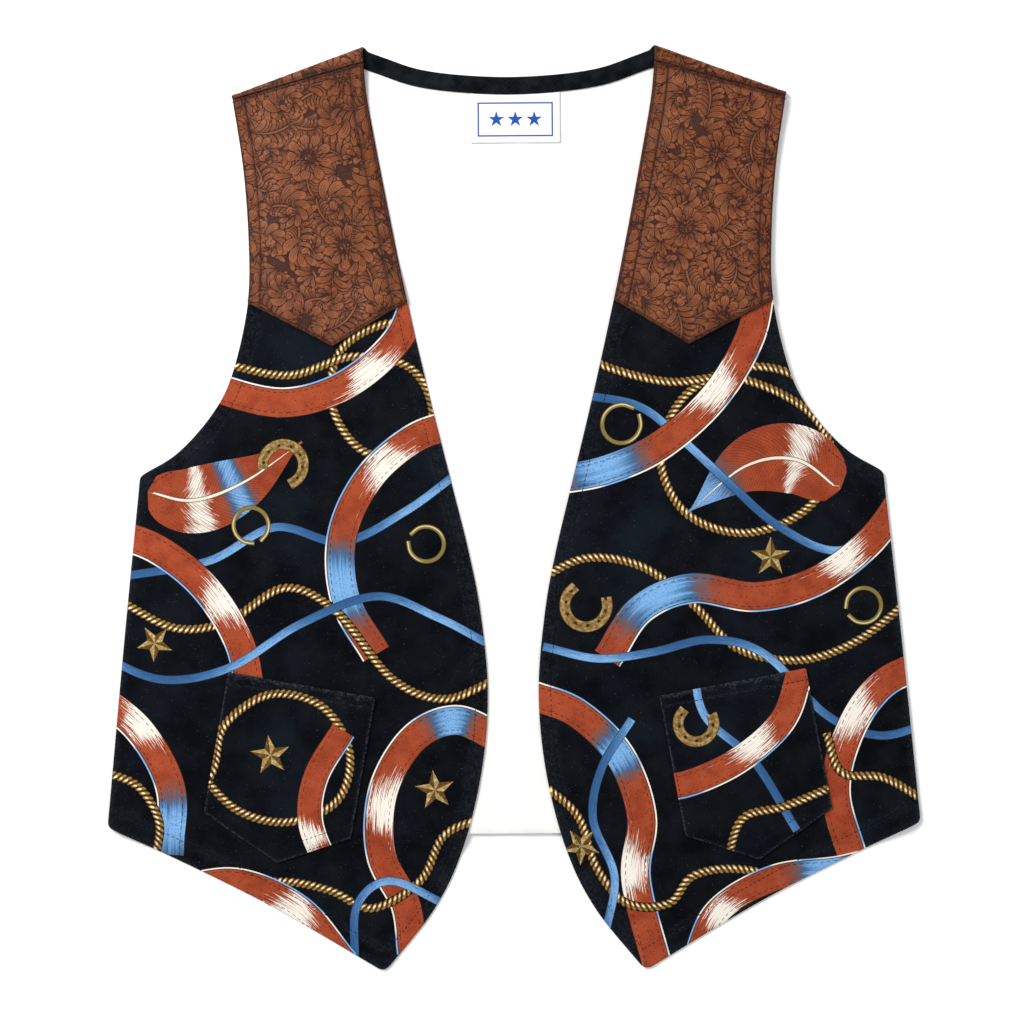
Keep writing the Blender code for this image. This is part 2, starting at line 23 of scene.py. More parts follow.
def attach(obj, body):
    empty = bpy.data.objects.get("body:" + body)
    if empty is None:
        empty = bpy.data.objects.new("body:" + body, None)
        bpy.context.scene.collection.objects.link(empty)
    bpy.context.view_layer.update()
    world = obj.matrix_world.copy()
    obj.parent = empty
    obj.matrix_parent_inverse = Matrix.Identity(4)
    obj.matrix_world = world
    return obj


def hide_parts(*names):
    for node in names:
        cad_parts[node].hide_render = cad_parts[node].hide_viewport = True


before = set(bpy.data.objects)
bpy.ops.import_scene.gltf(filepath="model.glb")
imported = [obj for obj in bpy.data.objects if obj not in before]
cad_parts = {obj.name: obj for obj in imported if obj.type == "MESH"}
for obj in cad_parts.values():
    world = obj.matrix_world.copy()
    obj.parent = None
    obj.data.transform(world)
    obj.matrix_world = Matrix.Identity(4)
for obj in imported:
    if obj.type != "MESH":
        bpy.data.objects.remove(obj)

LOG = logging.getLogger("vest")
BODY = "root"
MM = 0.001
CHUNK = 2500
LEAST_SPACING = 0.0004
MERGE = 1e-5
FINE_STEP = 0.0025
RIM_ROWS = 4
TINY = 1e-9
CLEAR_SHARE = 0.45
PROBE = 0.0003
BAKE_MARGIN = 0.004
CARVED_MARGIN = 0.004
TWILL_THICK = 0.0012
LEATHER_THICK = 0.0014
LINING_THICK = 0.0010
TRIM_THICK = 0.0010
SIDES = {1: "left", -1: "right"}

Place = tuple[float, float]
Colour = tuple[float, float, float]
Array = np.ndarray
Faces = tuple[Array, Array]


def smoothstep(value: Array | float) -> Array:
    """0 below 0, 1 above 1, and a smooth turn between."""
    t = np.clip(value, 0.0, 1.0)
    return t * t * (3.0 - 2.0 * t)


def hump(distance: Array, width: float) -> Array:
    """1 at no distance, falling off smoothly over about the width."""
    return np.exp(-((distance / width) ** 2))


def towards_angle(angle: float) -> Array:
    """The unit direction at an angle."""
    return np.array([math.cos(angle), math.sin(angle)])


def ripples(points: Array, length: float, seed: int, waves: int = 7) -> Array:
    """Gentle uneven waves over the page.

    Args:
        points: Places on the page.
        length: The usual length of a wave.
        seed: Chooses the waves.
        waves: How many run across each other.

    Returns:
        The height at each point, mostly between -1 and 1.
    """
    draw = np.random.default_rng(seed)
    total = np.zeros(len(points))
    for turn, phase, stretch in draw.uniform((0, 0, 0.7), (math.pi, 6.3, 1.4), (waves, 3)):
        total += np.sin(points @ towards_angle(turn) * math.tau / (length * stretch) + phase)
    return total / math.sqrt(waves)


def curve_through(places: Sequence[Place], step: float = FINE_STEP) -> Array:
    """A smooth curve through the places.

    Args:
        places: The places that the curve passes, in order.
        step: About how far apart its points lie.

    Returns:
        The curve's points, both ends kept.
    """
    knots = np.array(places, float)
    padded = np.vstack([2 * knots[0] - knots[1], knots, 2 * knots[-1] - knots[-2]])
    points = []
    for i in range(1, len(padded) - 2):
        p0, p1, p2, p3 = padded[i - 1 : i + 3]
        count = max(1, round(float(np.linalg.norm(p2 - p1)) / step))
        for t in np.arange(count) / count:
            bend = (p2 - p0) * t + (2 * p0 - 5 * p1 + 4 * p2 - p3) * t**2
            points.append(p1 + 0.5 * (bend + (3 * p1 - p0 - 3 * p2 + p3) * t**3))
    points.append(knots[-1])
    return np.array(points)


def mirrored(points: Array) -> Array:
    """The points on the other side of the centre line, in reverse order."""
    return np.array(points)[::-1] * (-1.0, 1.0)


def left_of(points: Array) -> Array:
    """The points, with those of the right half moved to the left."""
    return np.column_stack([np.abs(points[:, 0]), points[:, 1]])


def closed(outline: Array) -> Array:
    """An outline whose last point is its first once more."""
    return np.vstack([outline, outline[:1]])


def without_repeats(points: Array) -> Array:
    """The closed outline without points that nearly coincide with the one before.

    Args:
        points: Places on the page.

    Returns:
        The points that are left.
    """
    kept = [points[0]]
    for point in points[1:]:
        if np.linalg.norm(point - kept[-1]) > LEAST_SPACING:
            kept.append(point)
    if np.linalg.norm(kept[-1] - kept[0]) <= LEAST_SPACING:
        kept.pop()
    return np.array(kept)


def joined(curves: Sequence[Array], radii: Sequence[float], steps: int = 6) -> Array:
    """One closed outline from curves laid end to end.

    Args:
        curves: The curves in order, each ending where the next starts.
        radii: The rounding of the corner that follows each curve, 0 for a sharp one.
        steps: The number of edges round a corner.

    Returns:
        The outline's points.
    """
    outline: list[Array] = []
    for i, curve in enumerate(curves):
        corner = curve[-1]
        from_start = np.linalg.norm(curve - curve[0], axis=1)
        from_corner = np.linalg.norm(curve - corner, axis=1)
        outline.extend(curve[(from_start >= radii[i - 1]) & (from_corner > radii[i])])
        if radii[i] == 0.0:
            continue
        following = curves[(i + 1) % len(curves)]
        beyond = following[np.linalg.norm(following - corner, axis=1) >= radii[i]][0]
        before, after = (
            corner + away * min(1.0, radii[i] / np.linalg.norm(away))
            for away in (outline[-1] - corner, beyond - corner)
        )
        for t in np.linspace(0.0, 1.0, steps + 1):
            lead = before * (1 - t) + corner * t
            follow = corner * (1 - t) + after * t
            outline.append(lead * (1 - t) + follow * t)
    return without_repeats(np.array(outline))


def nearest(line: Array, points: Array) -> tuple[Array, Array]:
    """Finds the place on a line that is nearest to each point.

    Args:
        line: The line's points, in order.
        points: The points to measure from.

    Returns:
        The length along the line to each nearest place, and the distance from it,
        positive on the line's left.
    """
    starts, runs = line[:-1], np.diff(line, axis=0)
    lengths = np.maximum(np.linalg.norm(runs, axis=1), TINY)
    before = np.concatenate([[0.0], np.cumsum(lengths)[:-1]])
    along, aside = np.empty(len(points)), np.empty(len(points))
    for first in range(0, len(points), CHUNK):
        part = slice(first, first + CHUNK)
        offsets = points[part, None, :] - starts[None, :, :]
        share = np.clip((offsets * runs).sum(axis=2) / lengths**2, 0.0, 1.0)
        gaps = ((offsets - share[:, :, None] * runs) ** 2).sum(axis=2)
        found = gaps.argmin(axis=1)
        rows = np.arange(len(found))
        turn = np.cross(runs[found], offsets[rows, found])
        along[part] = before[found] + share[rows, found] * lengths[found]
        aside[part] = np.sqrt(gaps[rows, found]) * np.where(turn < 0.0, -1.0, 1.0)
    return along, aside


def distance_to(line: Array, points: Array) -> Array:
    """How far each point is from a line of points."""
    return np.abs(nearest(line, points)[1])


def inside(outline: Array, points: Array) -> Array:
    """Tells which points lie within a closed outline.

    Args:
        outline: The outline's points.
        points: The points to test.

    Returns:
        True for each point within.
    """
    found = np.zeros(len(points), bool)
    low, high = outline.min(axis=0), outline.max(axis=0)
    near = np.flatnonzero(((points >= low) & (points <= high)).all(axis=1))
    x, y = points[near].T
    within = np.zeros(len(near), bool)
    for (x0, y0), (x1, y1) in zip(outline, np.roll(outline, -1, axis=0)):
        if y0 != y1:
            crosses = (y0 > y) != (y1 > y)
            within ^= crosses & (x < x0 + (y - y0) * (x1 - x0) / (y1 - y0))
    found[near] = within
    return found


def aside_of(line: Array, width: float, loop: bool = False) -> Array:
    """A line moved to its own left by a width.

    Args:
        line: The line's points, in order.
        width: How far each point moves, negative for the right.
        loop: True for an outline whose last point joins its first.

    Returns:
        The moved points.
    """
    if loop:
        before, after = line - np.roll(line, 1, axis=0), np.roll(line, -1, axis=0) - line
    else:
        runs = np.diff(line, axis=0)
        before, after = np.vstack([runs[:1], runs]), np.vstack([runs, runs[-1:]])
    before = before / np.linalg.norm(before, axis=1)[:, None]
    both = before + after / np.linalg.norm(after, axis=1)[:, None]
    normal = np.column_stack([-both[:, 1], both[:, 0]])
    normal /= np.maximum(np.linalg.norm(normal, axis=1), TINY)[:, None]
    lean = (normal * np.column_stack([-before[:, 1], before[:, 0]])).sum(axis=1)
    return line + width * normal / np.clip(lean, 0.6, 1.0)[:, None]


def crowded(points: Array, placed: Array, clear: float) -> Array:
    """Tells which points have a placed one close by.

    Args:
        points: The points to test.
        placed: The points that are there already.
        clear: About how close is too close.

    Returns:
        True for each crowded point.
    """
    low = np.vstack([points, placed]).min(axis=0) - 2 * clear
    cells = np.floor((points - low) / clear).astype(int)
    held = np.floor((placed - low) / clear).astype(int)
    taken = np.zeros(np.maximum(cells.max(axis=0), held.max(axis=0)) + 2, bool)
    for right in (-1, 0, 1):
        for up in (-1, 0, 1):
            taken[held[:, 0] + right, held[:, 1] + up] = True
    return taken[cells[:, 0], cells[:, 1]]


def filling(outline: Array, step: float) -> Array:
    """Points in even rows inside an outline.

    Args:
        outline: The outline's points.
        step: How far apart the points lie.

    Returns:
        The points.
    """
    low, high = outline.min(axis=0), outline.max(axis=0)
    rows = [np.empty((0, 2))]
    for row, y in enumerate(np.arange(low[1] + step / 2, high[1], step * math.sin(math.pi / 3))):
        xs = np.arange(low[0] + step * (0.5 if row % 2 else 1.0), high[0], step)
        rows.append(np.column_stack([xs, np.full_like(xs, y)]))
    points = np.vstack(rows)
    return points[inside(outline, points)]


@dataclass
class Layout:
    """An area of the page divided into triangles."""

    points: Array
    triangles: Array

    def rim(self) -> tuple[Array, Array]:
        """Walks round the outer edge.

        Returns:
            The numbers of the edge's points, in order, and for each edge its triangle
            times three, plus the corner where the edge starts.
        """
        starts = self.triangles.ravel()
        ends = np.roll(self.triangles, -1, axis=1).ravel()
        size = len(self.points)
        free = np.flatnonzero(~np.isin(starts * size + ends, ends * size + starts))
        following = {int(starts[e]): (int(ends[e]), int(e)) for e in free}
        first = int(starts[free[0]])
        loop, owners, at = [], [], first
        while not loop or at != first:
            loop.append(at)
            at, owner = following.pop(at)
            owners.append(owner)
        return np.array(loop), np.array(owners)


def lay_out(
    outline: Array, step: float, lines: Sequence[Array] = (),
    detail: Sequence[Array] = (),
) -> Layout:
    """Divides the area inside a closed outline into triangles.

    Args:
        outline: The area's edge, counter-clockwise.
        step: About how wide the triangles are.
        lines: Lines that the triangles' edges also follow.
        detail: Points that are kept as they are, where the triangles are smaller.

    Returns:
        The points and the triangles, which face up.
    """
    placed = np.vstack([outline, *lines, *detail])
    fill = filling(outline, step)
    if len(fill):
        fill = fill[~crowded(fill, placed, CLEAR_SHARE * step)]
    edges, count = [], len(outline)
    for line in lines:
        edges += [(count + i, count + i + 1) for i in range(len(line) - 1)]
        count += len(line)
    flat = np.vstack([placed, fill])
    loop = list(range(len(outline)))
    made = delaunay_2d_cdt([Vector(p) for p in flat], edges, [loop], 1, MERGE, False)
    points = np.array([tuple(v) for v in made[0]])
    triangles = np.array(made[2])
    triangles = triangles[inside(outline, points[triangles].mean(axis=1))]
    a, b, c = (points[triangles[:, i]] for i in range(3))
    turned = np.cross(b - a, c - a) < 0.0
    triangles[turned] = triangles[turned][:, ::-1]
    used, triangles = np.unique(triangles, return_inverse=True)
    return Layout(points[used], triangles.reshape(-1, 3))


@dataclass(frozen=True)
class Fold:
    """A soft ridge along a line, or a trough where its height is negative."""

    side: int
    start: Place
    end: Place
    half_width: float
    height: float

    def rise(self, points: Array) -> Array:
        """The rise of the cloth at each point."""
        line = np.array([self.start, self.end])
        return self.height * hump(distance_to(line, points), self.half_width)


@dataclass(frozen=True)
class VestForm:
    """The vest's outlines and the level of each layer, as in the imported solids."""

    twill: float = TWILL_THICK
    leather: float = LEATHER_THICK
    lining: float = LINING_THICK
    gap: float = 0.0003
    shoulder_neck: Place = (0.0955, 0.3048)
    shoulder_tip: Place = (0.1835, 0.2731)
    seam_neck: Place = (0.0958, 0.2938)
    seam_tip: Place = (0.1824, 0.2703)
    front_point: Place = (0.0862, -0.3068)
    hem_corner: Place = (0.2686, -0.2096)
    armpit: Place = (0.2455, 0.0220)
    yoke_tip: Place = (0.1175, 0.1065)
    yoke_armhole: Place = (0.1734, 0.1358)
    yoke_front: Place = (0.0680, 0.1361)
    front_edge: tuple[Place, ...] = (
        seam_neck, (0.0936, 0.2700), (0.0876, 0.2358), (0.0776, 0.1830),
        yoke_front, (0.0548, 0.0774), (0.0386, 0.0114), (0.0290, -0.0282),
        (0.0215, -0.0678), (0.0168, -0.1206), (0.0211, -0.1734), (0.0343, -0.2262),
        (0.0535, -0.2658), front_point,
    )
    hem: tuple[Place, ...] = (front_point, (0.1548, -0.2660), (0.2053, -0.2398), hem_corner)
    side: tuple[Place, ...] = (hem_corner, (0.2575, -0.0942), armpit)
    armhole: tuple[Place, ...] = (
        armpit, (0.2198, 0.0378), (0.1964, 0.0642), (0.1835, 0.0906),
        yoke_armhole, (0.1726, 0.1764), (0.1756, 0.2226), seam_tip,
    )
    neck_curve: tuple[Place, ...] = (
        (0.0, 0.2841), (0.0347, 0.2859), (0.0607, 0.2899), (0.0822, 0.2973),
    )
    point_round: float = 0.006
    hem_corner_round: float = 0.004
    armpit_round: float = 0.003
    back_hem_drop: float = 0.006
    back_yoke_point: Place = (0.0, 0.1000)
    fold_radius_neck: float = 0.0045
    fold_radius_tip: float = 0.0028
    strip_neck_start: float = -0.0015
    loft: float = 0.0034
    loft_run: float = 0.065
    shoulder_run: float = 0.045
    side_fall_run: float = 0.010
    hem_fall_run: float = 0.016
    yoke_lap: float = 0.008
    lap_run: float = 0.022
    edge_calm: float = 4.0
    solid_step: float = 0.011
    ripple: float = 0.00022
    ripple_length: float = 0.034
    folds: tuple[Fold, ...] = (
        Fold(1, (0.112, 0.204), (0.150, 0.190), 0.013, -0.0013),
        Fold(1, (0.100, 0.246), (0.138, 0.250), 0.012, 0.0007),
        Fold(1, (0.222, 0.008), (0.128, -0.052), 0.019, 0.0012),
        Fold(1, (0.064, 0.056), (0.108, -0.036), 0.020, -0.0009),
        Fold(1, (0.048, -0.178), (0.092, -0.252), 0.018, 0.0010),
        Fold(1, (0.226, -0.090), (0.232, -0.186), 0.016, -0.0008),
        Fold(-1, (0.104, 0.270), (0.146, 0.258), 0.011, -0.0012),
        Fold(-1, (0.150, 0.228), (0.152, 0.160), 0.013, 0.0008),
        Fold(-1, (0.216, 0.012), (0.150, -0.026), 0.020, 0.0011),
        Fold(-1, (0.190, 0.052), (0.120, 0.060), 0.018, -0.0007),
        Fold(-1, (0.060, -0.060), (0.086, -0.180), 0.020, -0.0009),
        Fold(-1, (0.226, -0.060), (0.150, -0.092), 0.019, 0.0008),
        Fold(-1, (0.120, -0.244), (0.210, -0.214), 0.014, 0.0008),
    )
    lining_folds: tuple[Fold, ...] = (
        Fold(0, (-0.040, 0.214), (-0.020, 0.030), 0.015, 0.0011),
        Fold(0, (0.046, 0.222), (0.018, 0.070), 0.014, 0.0009),
        Fold(0, (0.004, 0.150), (0.002, -0.050), 0.011, 0.0006),
    )

    @cached_property
    def front_base(self) -> float:
        """Height of a front's underside where it has no loft."""
        return self.leather + self.lining + 2.0 * self.gap

    @cached_property
    def front_line(self) -> Array:
        """The front edge from the shoulder seam to the front point."""
        return curve_through(self.front_edge)

    @cached_property
    def hem_line(self) -> Array:
        """The hem from the front point to the side."""
        return curve_through(self.hem)

    @cached_property
    def side_line(self) -> Array:
        """The side from the hem to the armhole."""
        return curve_through(self.side)

    @cached_property
    def armhole_line(self) -> Array:
        """The armhole from the side to the shoulder seam."""
        return curve_through(self.armhole)

    @cached_property
    def coarse_edges(self) -> Array:
        """All free edges of a front in the solids' own steps, for the loft."""
        parts = (self.front_edge, self.hem, self.side, self.armhole)
        return np.vstack([curve_through(part, self.solid_step) for part in parts])

    @cached_property
    def yoke_line(self) -> Array:
        """The yoke's lower edge from the armhole over the point to the front edge."""
        first = curve_through([self.yoke_armhole, self.yoke_tip])
        return np.vstack([first, curve_through([self.yoke_tip, self.yoke_front])[1:]])

    @cached_property
    def neck_line(self) -> Array:
        """The back's neck edge from the right shoulder's fold to the left's.

        Returns:
            The line's points.
        """
        start = self.strip_neck_start
        fold = self.at_shoulder(start, -float(self.fold_radius(start)))
        half = np.array([*self.neck_curve, fold])
        return curve_through(np.vstack([mirrored(half), half[1:]]))

    @cached_property
    def along(self) -> Array:
        """The shoulder line's direction, from neck to tip."""
        run = np.subtract(self.shoulder_tip, self.shoulder_neck)
        return run / np.linalg.norm(run)

    @cached_property
    def outward(self) -> Array:
        """The direction across the shoulder line, away from the vest."""
        return np.array([-self.along[1], self.along[0]])

    @cached_property
    def shoulder_length(self) -> float:
        """Length of the shoulder line."""
        return float(np.linalg.norm(np.subtract(self.shoulder_tip, self.shoulder_neck)))

    def shoulder_frame(self, points: Array) -> tuple[Array, Array]:
        """Each point's distance along the shoulder line from the neck, and past it."""
        offsets = np.array(points, float) - np.array(self.shoulder_neck)
        return offsets @ self.along, offsets @ self.outward

    def at_shoulder(self, along: float, outward: float) -> Array:
        """The place at a distance along the shoulder line and outward past it."""
        return np.array(self.shoulder_neck) + along * self.along + outward * self.outward

    def fold_radius(self, along: Array | float) -> Array:
        """Outer radius of the shoulder fold at a distance along the shoulder."""
        share = np.clip(np.asarray(along) / self.shoulder_length, 0.0, 1.0)
        return self.fold_radius_neck + (self.fold_radius_tip - self.fold_radius_neck) * share

    def back_hem(self, x: Array | float) -> Array:
        """Height of the back's hem on the page at a distance from the centre line."""
        share = np.asarray(x) / self.hem_corner[0]
        return self.hem_corner[1] - self.back_hem_drop * (1.0 - share**2)

    def front_level(self, points: Array, side: int) -> Array:
        """Height of a front's underside at points of the left half.

        Args:
            points: Places on the page, in the left half.
            side: 1 for the left front, -1 for the right.

        Returns:
            The height at each point.
        """
        to_side = distance_to(curve_through(self.side, self.solid_step), points)
        side_fall = self.front_base - (self.twill + self.gap)
        base = self.front_base - side_fall * (1.0 - smoothstep(to_side / self.side_fall_run))
        below_hem = self.back_hem(points[:, 0]) - points[:, 1]
        base *= 1.0 - smoothstep(below_hem / self.hem_fall_run)
        to_edge = np.clip(distance_to(self.coarse_edges, points) / self.loft_run, 0.0, 1.0)
        rise = self.loft * (1.0 - (1.0 - to_edge) ** 2)
        soft = sum(fold.rise(points) for fold in self.folds if fold.side == side)
        soft = soft + self.ripple * ripples(points, self.ripple_length, 5 + side)
        rise += soft * smoothstep(to_edge * self.edge_calm)
        along, outward = self.shoulder_frame(points)
        held = smoothstep(1.0 + outward / self.shoulder_run)
        shoulder_level = 2.0 * self.fold_radius(along) - self.leather
        return (base + rise) * (1.0 - held) + shoulder_level * held

    def yoke_level(self, points: Array, side: int) -> Array:
        """Height of a front yoke's underside, which laps over the panel's top edge.

        Args:
            points: Places on the page, in the left half.
            side: 1 for the left yoke, -1 for the right.

        Returns:
            The height at each point.
        """
        _, outward = self.shoulder_frame(points)
        above = distance_to(self.yoke_line, points)
        lap = 1.0 - smoothstep((above - self.yoke_lap) / self.lap_run)
        lap *= 1.0 - smoothstep(1.0 + outward / self.shoulder_run)
        return self.front_level(points, side) + (self.twill + self.gap) * lap

    def lining_under(self, points: Array) -> Array:
        """Height of the lining's underside."""
        return self.leather + self.gap + sum(fold.rise(points) for fold in self.lining_folds)

    def on_lining(self, points: Array) -> Array:
        """Height of the underside of what is sewn on the lining."""
        return self.lining_under(points) + self.lining + self.gap

    def at_line(self, line: Array, y: float) -> Array:
        """The place where a line passes a height on the page."""
        order = np.argsort(line[:, 1])
        return np.array([np.interp(y, line[order, 1], line[order, 0]), y])


def linked(name: str, mesh: bpy.types.Mesh) -> bpy.types.Object:
    """Puts a mesh in the scene as one piece at the origin.

    Args:
        name: Its name.
        mesh: Its mesh.

    Returns:
        The piece.
    """
    piece = bpy.data.objects.new(name, mesh)
    bpy.context.scene.collection.objects.link(piece)
    return piece


@dataclass
class Paint:
    """What a shell carries besides its shape: inks, maps on corners, numbers on points."""

    inks: Array | None = None
    maps: dict[str, Array] = field(default_factory=dict)
    numbers: dict[str, Array] = field(default_factory=dict)


@dataclass
class Shell:
    """A closed shell of cloth: the shown face, the hidden face and a rounded rim."""

    name: str
    layout: Layout
    surfaces: Callable[[Array], Faces]
    paint: Paint
    side: int
    face_down: bool
    rim: float
    under_step: float
    under_lines: Sequence[Array]

    def bake_map(self, flat: Array, chart: int) -> Array:
        """Places flat points in the baked texture, the two faces beside each other.

        Args:
            flat: Places on the page.
            chart: 0 for the shown face, 1 for the hidden one.

        Returns:
            The points' places between 0 and 1.
        """
        low = self.layout.points.min(axis=0) - BAKE_MARGIN
        size = self.layout.points.max(axis=0) + BAKE_MARGIN - low
        tall = size[1] > size[0]
        place = flat - low
        if chart:
            place[:, 0] = size[0] - place[:, 0]
            place[:, 0 if tall else 1] += size[0 if tall else 1]
        return place / max(size[0] * (2 if tall else 1), size[1] * (1 if tall else 2))

    def build(self) -> bpy.types.Object:
        """Makes the shell's mesh with its maps, inks and numbers.

        Returns:
            The piece, at the origin.
        """
        loop, owners = self.layout.rim()
        ring = self.layout.points[loop]
        below = lay_out(ring, self.under_step, self.under_lines)
        match = [int(np.abs(below.points - p).sum(axis=1).argmin()) for p in ring]
        outer_ring = aside_of(ring, -self.rim, loop=True)
        shown = self.surfaces(self.layout.points)[1]
        hidden = self.surfaces(below.points)[0]
        middle, up = (shown[loop] + hidden[match]) / 2, (shown[loop] - hidden[match]) / 2
        out = np.add(*self.surfaces(outer_ring)) / 2 - np.add(*self.surfaces(ring)) / 2
        turns = np.linspace(math.pi / 2, -math.pi / 2, RIM_ROWS + 1)[1:-1]
        rows = [middle + out * math.cos(t) + up * math.sin(t) for t in turns]
        first_row, count = len(shown) + len(hidden), len(ring)
        numbers = [loop, *(first_row + count * k + np.arange(count) for k in range(RIM_ROWS - 1))]
        numbers.append(np.array(match) + len(shown))
        corners = np.vstack([shown, hidden, *rows]) * (self.side, 1.0, 1.0)

        quads, quad_bake = [], []
        normal, arc = (outer_ring - ring) / self.rim, self.rim * math.pi / RIM_ROWS
        for k in range(RIM_ROWS):
            upper, lower = numbers[k], numbers[k + 1]
            quads.append(np.column_stack([upper, lower, np.roll(lower, -1), np.roll(upper, -1)]))
            chart = int(k >= RIM_ROWS / 2)
            reach = [(RIM_ROWS - k, RIM_ROWS - k - 1), (k, k + 1)][1 - chart]
            near, far = (self.bake_map(ring + normal * arc * r, chart) for r in reach)
            ends = [near, far, np.roll(far, -1, axis=0), np.roll(near, -1, axis=0)]
            quad_bake.append(np.stack(ends, axis=1))
        under = below.triangles[:, ::-1]
        faces = [*self.layout.triangles.tolist(), *(under + len(shown)).tolist()]
        faces += np.vstack(quads).tolist()
        flip = (self.side < 0) != self.face_down
        mesh = bpy.data.meshes.new(self.name)
        mesh.from_pydata(corners.tolist(), [], [f[::-1] for f in faces] if flip else faces)
        mesh.shade_smooth()

        maps = {"OFBake": [self.bake_map(self.layout.points, 0)[self.layout.triangles],
                           self.bake_map(below.points, 1)[under], *quad_bake]}
        triangle, corner = owners // 3, owners % 3
        outer = [k < RIM_ROWS // 2 + 1 for k in range(RIM_ROWS)]
        for name, values in self.paint.maps.items():
            start, end = values[triangle, corner], values[triangle, (corner + 1) % 3]
            edge = np.stack([start, start, end, end], axis=1)
            maps[name] = [values, np.zeros((len(under), 3, 2)), *(edge * shows for shows in outer)]
        for name, parts in maps.items():
            flat = np.concatenate([(p[:, ::-1] if flip else p).reshape(-1, 2) for p in parts])
            layer = mesh.uv_layers.new(name=name)
            layer.data.foreach_set("uv", flat.astype(np.float32).ravel())
        if self.paint.inks is not None:
            rim_inks = [self.paint.inks[triangle] * shows for shows in outer]
            inks = np.concatenate([self.paint.inks, np.zeros(len(under), int), *rim_inks])
            mesh.polygons.foreach_set("material_index", inks.astype(np.int32))
        for name, values in self.paint.numbers.items():
            filled = [values, np.zeros(len(hidden)), *([values[loop]] * (RIM_ROWS - 1))]
            layer = mesh.attributes.new(name, "FLOAT", "POINT")
            layer.data.foreach_set("value", np.concatenate(filled).astype(np.float32))
        return linked(self.name, mesh)


class Value:
    """What one node gives, with plain sums on it."""

    def __init__(self, writer: "NodeWriter", socket: bpy.types.NodeSocket) -> None:
        """Keeps the socket and the writer that adds the nodes for sums."""
        self.writer = writer
        self.socket = socket

    def sum(self, operation: str, *others: object) -> "Value":
        """The result of one sum on this value and others."""
        return self.writer.sum(operation, self, *others)

    def __add__(self, other: object) -> "Value":
        """This value and another together."""
        return self.sum("ADD", other)

    def __sub__(self, other: object) -> "Value":
        """This value less another."""
        return self.sum("SUBTRACT", other)

    def __mul__(self, other: object) -> "Value":
        """This value times another."""
        return self.sum("MULTIPLY", other)

    def __truediv__(self, other: object) -> "Value":
        """This value divided by another."""
        return self.sum("DIVIDE", other)

    def __mod__(self, other: object) -> "Value":
        """What is left of this value after whole steps of another."""
        return self.sum("FLOORED_MODULO", other)

    def __abs__(self) -> "Value":
        """This value without its sign."""
        return self.sum("ABSOLUTE")

    def step(self, low: float, high: float) -> "Value":
        """A smooth turn from 0 to 1 as this value goes from low to high."""
        inputs = {"Value": self, "From Min": low, "From Max": high}
        return self.writer.made("ShaderNodeMapRange", inputs, interpolation_type="SMOOTHSTEP")


class NodeWriter:
    """Adds nodes to one tree, one call for each node."""

    def __init__(self, tree: bpy.types.NodeTree) -> None:
        """Keeps the tree."""
        self.tree = tree

    def node(self, kind: str, inputs: dict | None = None, **settings: object) -> bpy.types.Node:
        """Adds one node.

        Args:
            kind: The node's type.
            inputs: What goes into its sockets, by name or number.
            settings: Its other properties.

        Returns:
            The node.
        """
        node = self.tree.nodes.new(kind)
        for key, value in settings.items():
            setattr(node, key, value)
        for key, value in (inputs or {}).items():
            self.put(node.inputs[key], value)
        return node

    def put(self, socket: bpy.types.NodeSocket, value: object) -> None:
        """Links a socket to what another node gives, or sets it.

        Args:
            socket: The socket.
            value: What goes into it.
        """
        if isinstance(value, Value):
            self.tree.links.new(value.socket, socket)
        elif socket.type == "RGBA":
            socket.default_value = (*value, 1.0)
        else:
            socket.default_value = value

    def made(self, kind: str, inputs: dict | None = None, number: int | str = 0,
             **settings: object) -> Value:
        """Adds one node and takes its result of that number or name."""
        return Value(self, self.node(kind, inputs, **settings).outputs[number])

    def sum(self, operation: str, *values: object) -> Value:
        """The result of one sum on numbers or values."""
        return self.made("ShaderNodeMath", dict(enumerate(values)), operation=operation)

    def vector(self, x: object, y: object, z: object = 0.0) -> Value:
        """A vector from three numbers."""
        return self.made("ShaderNodeCombineXYZ", {0: x, 1: y, 2: z})


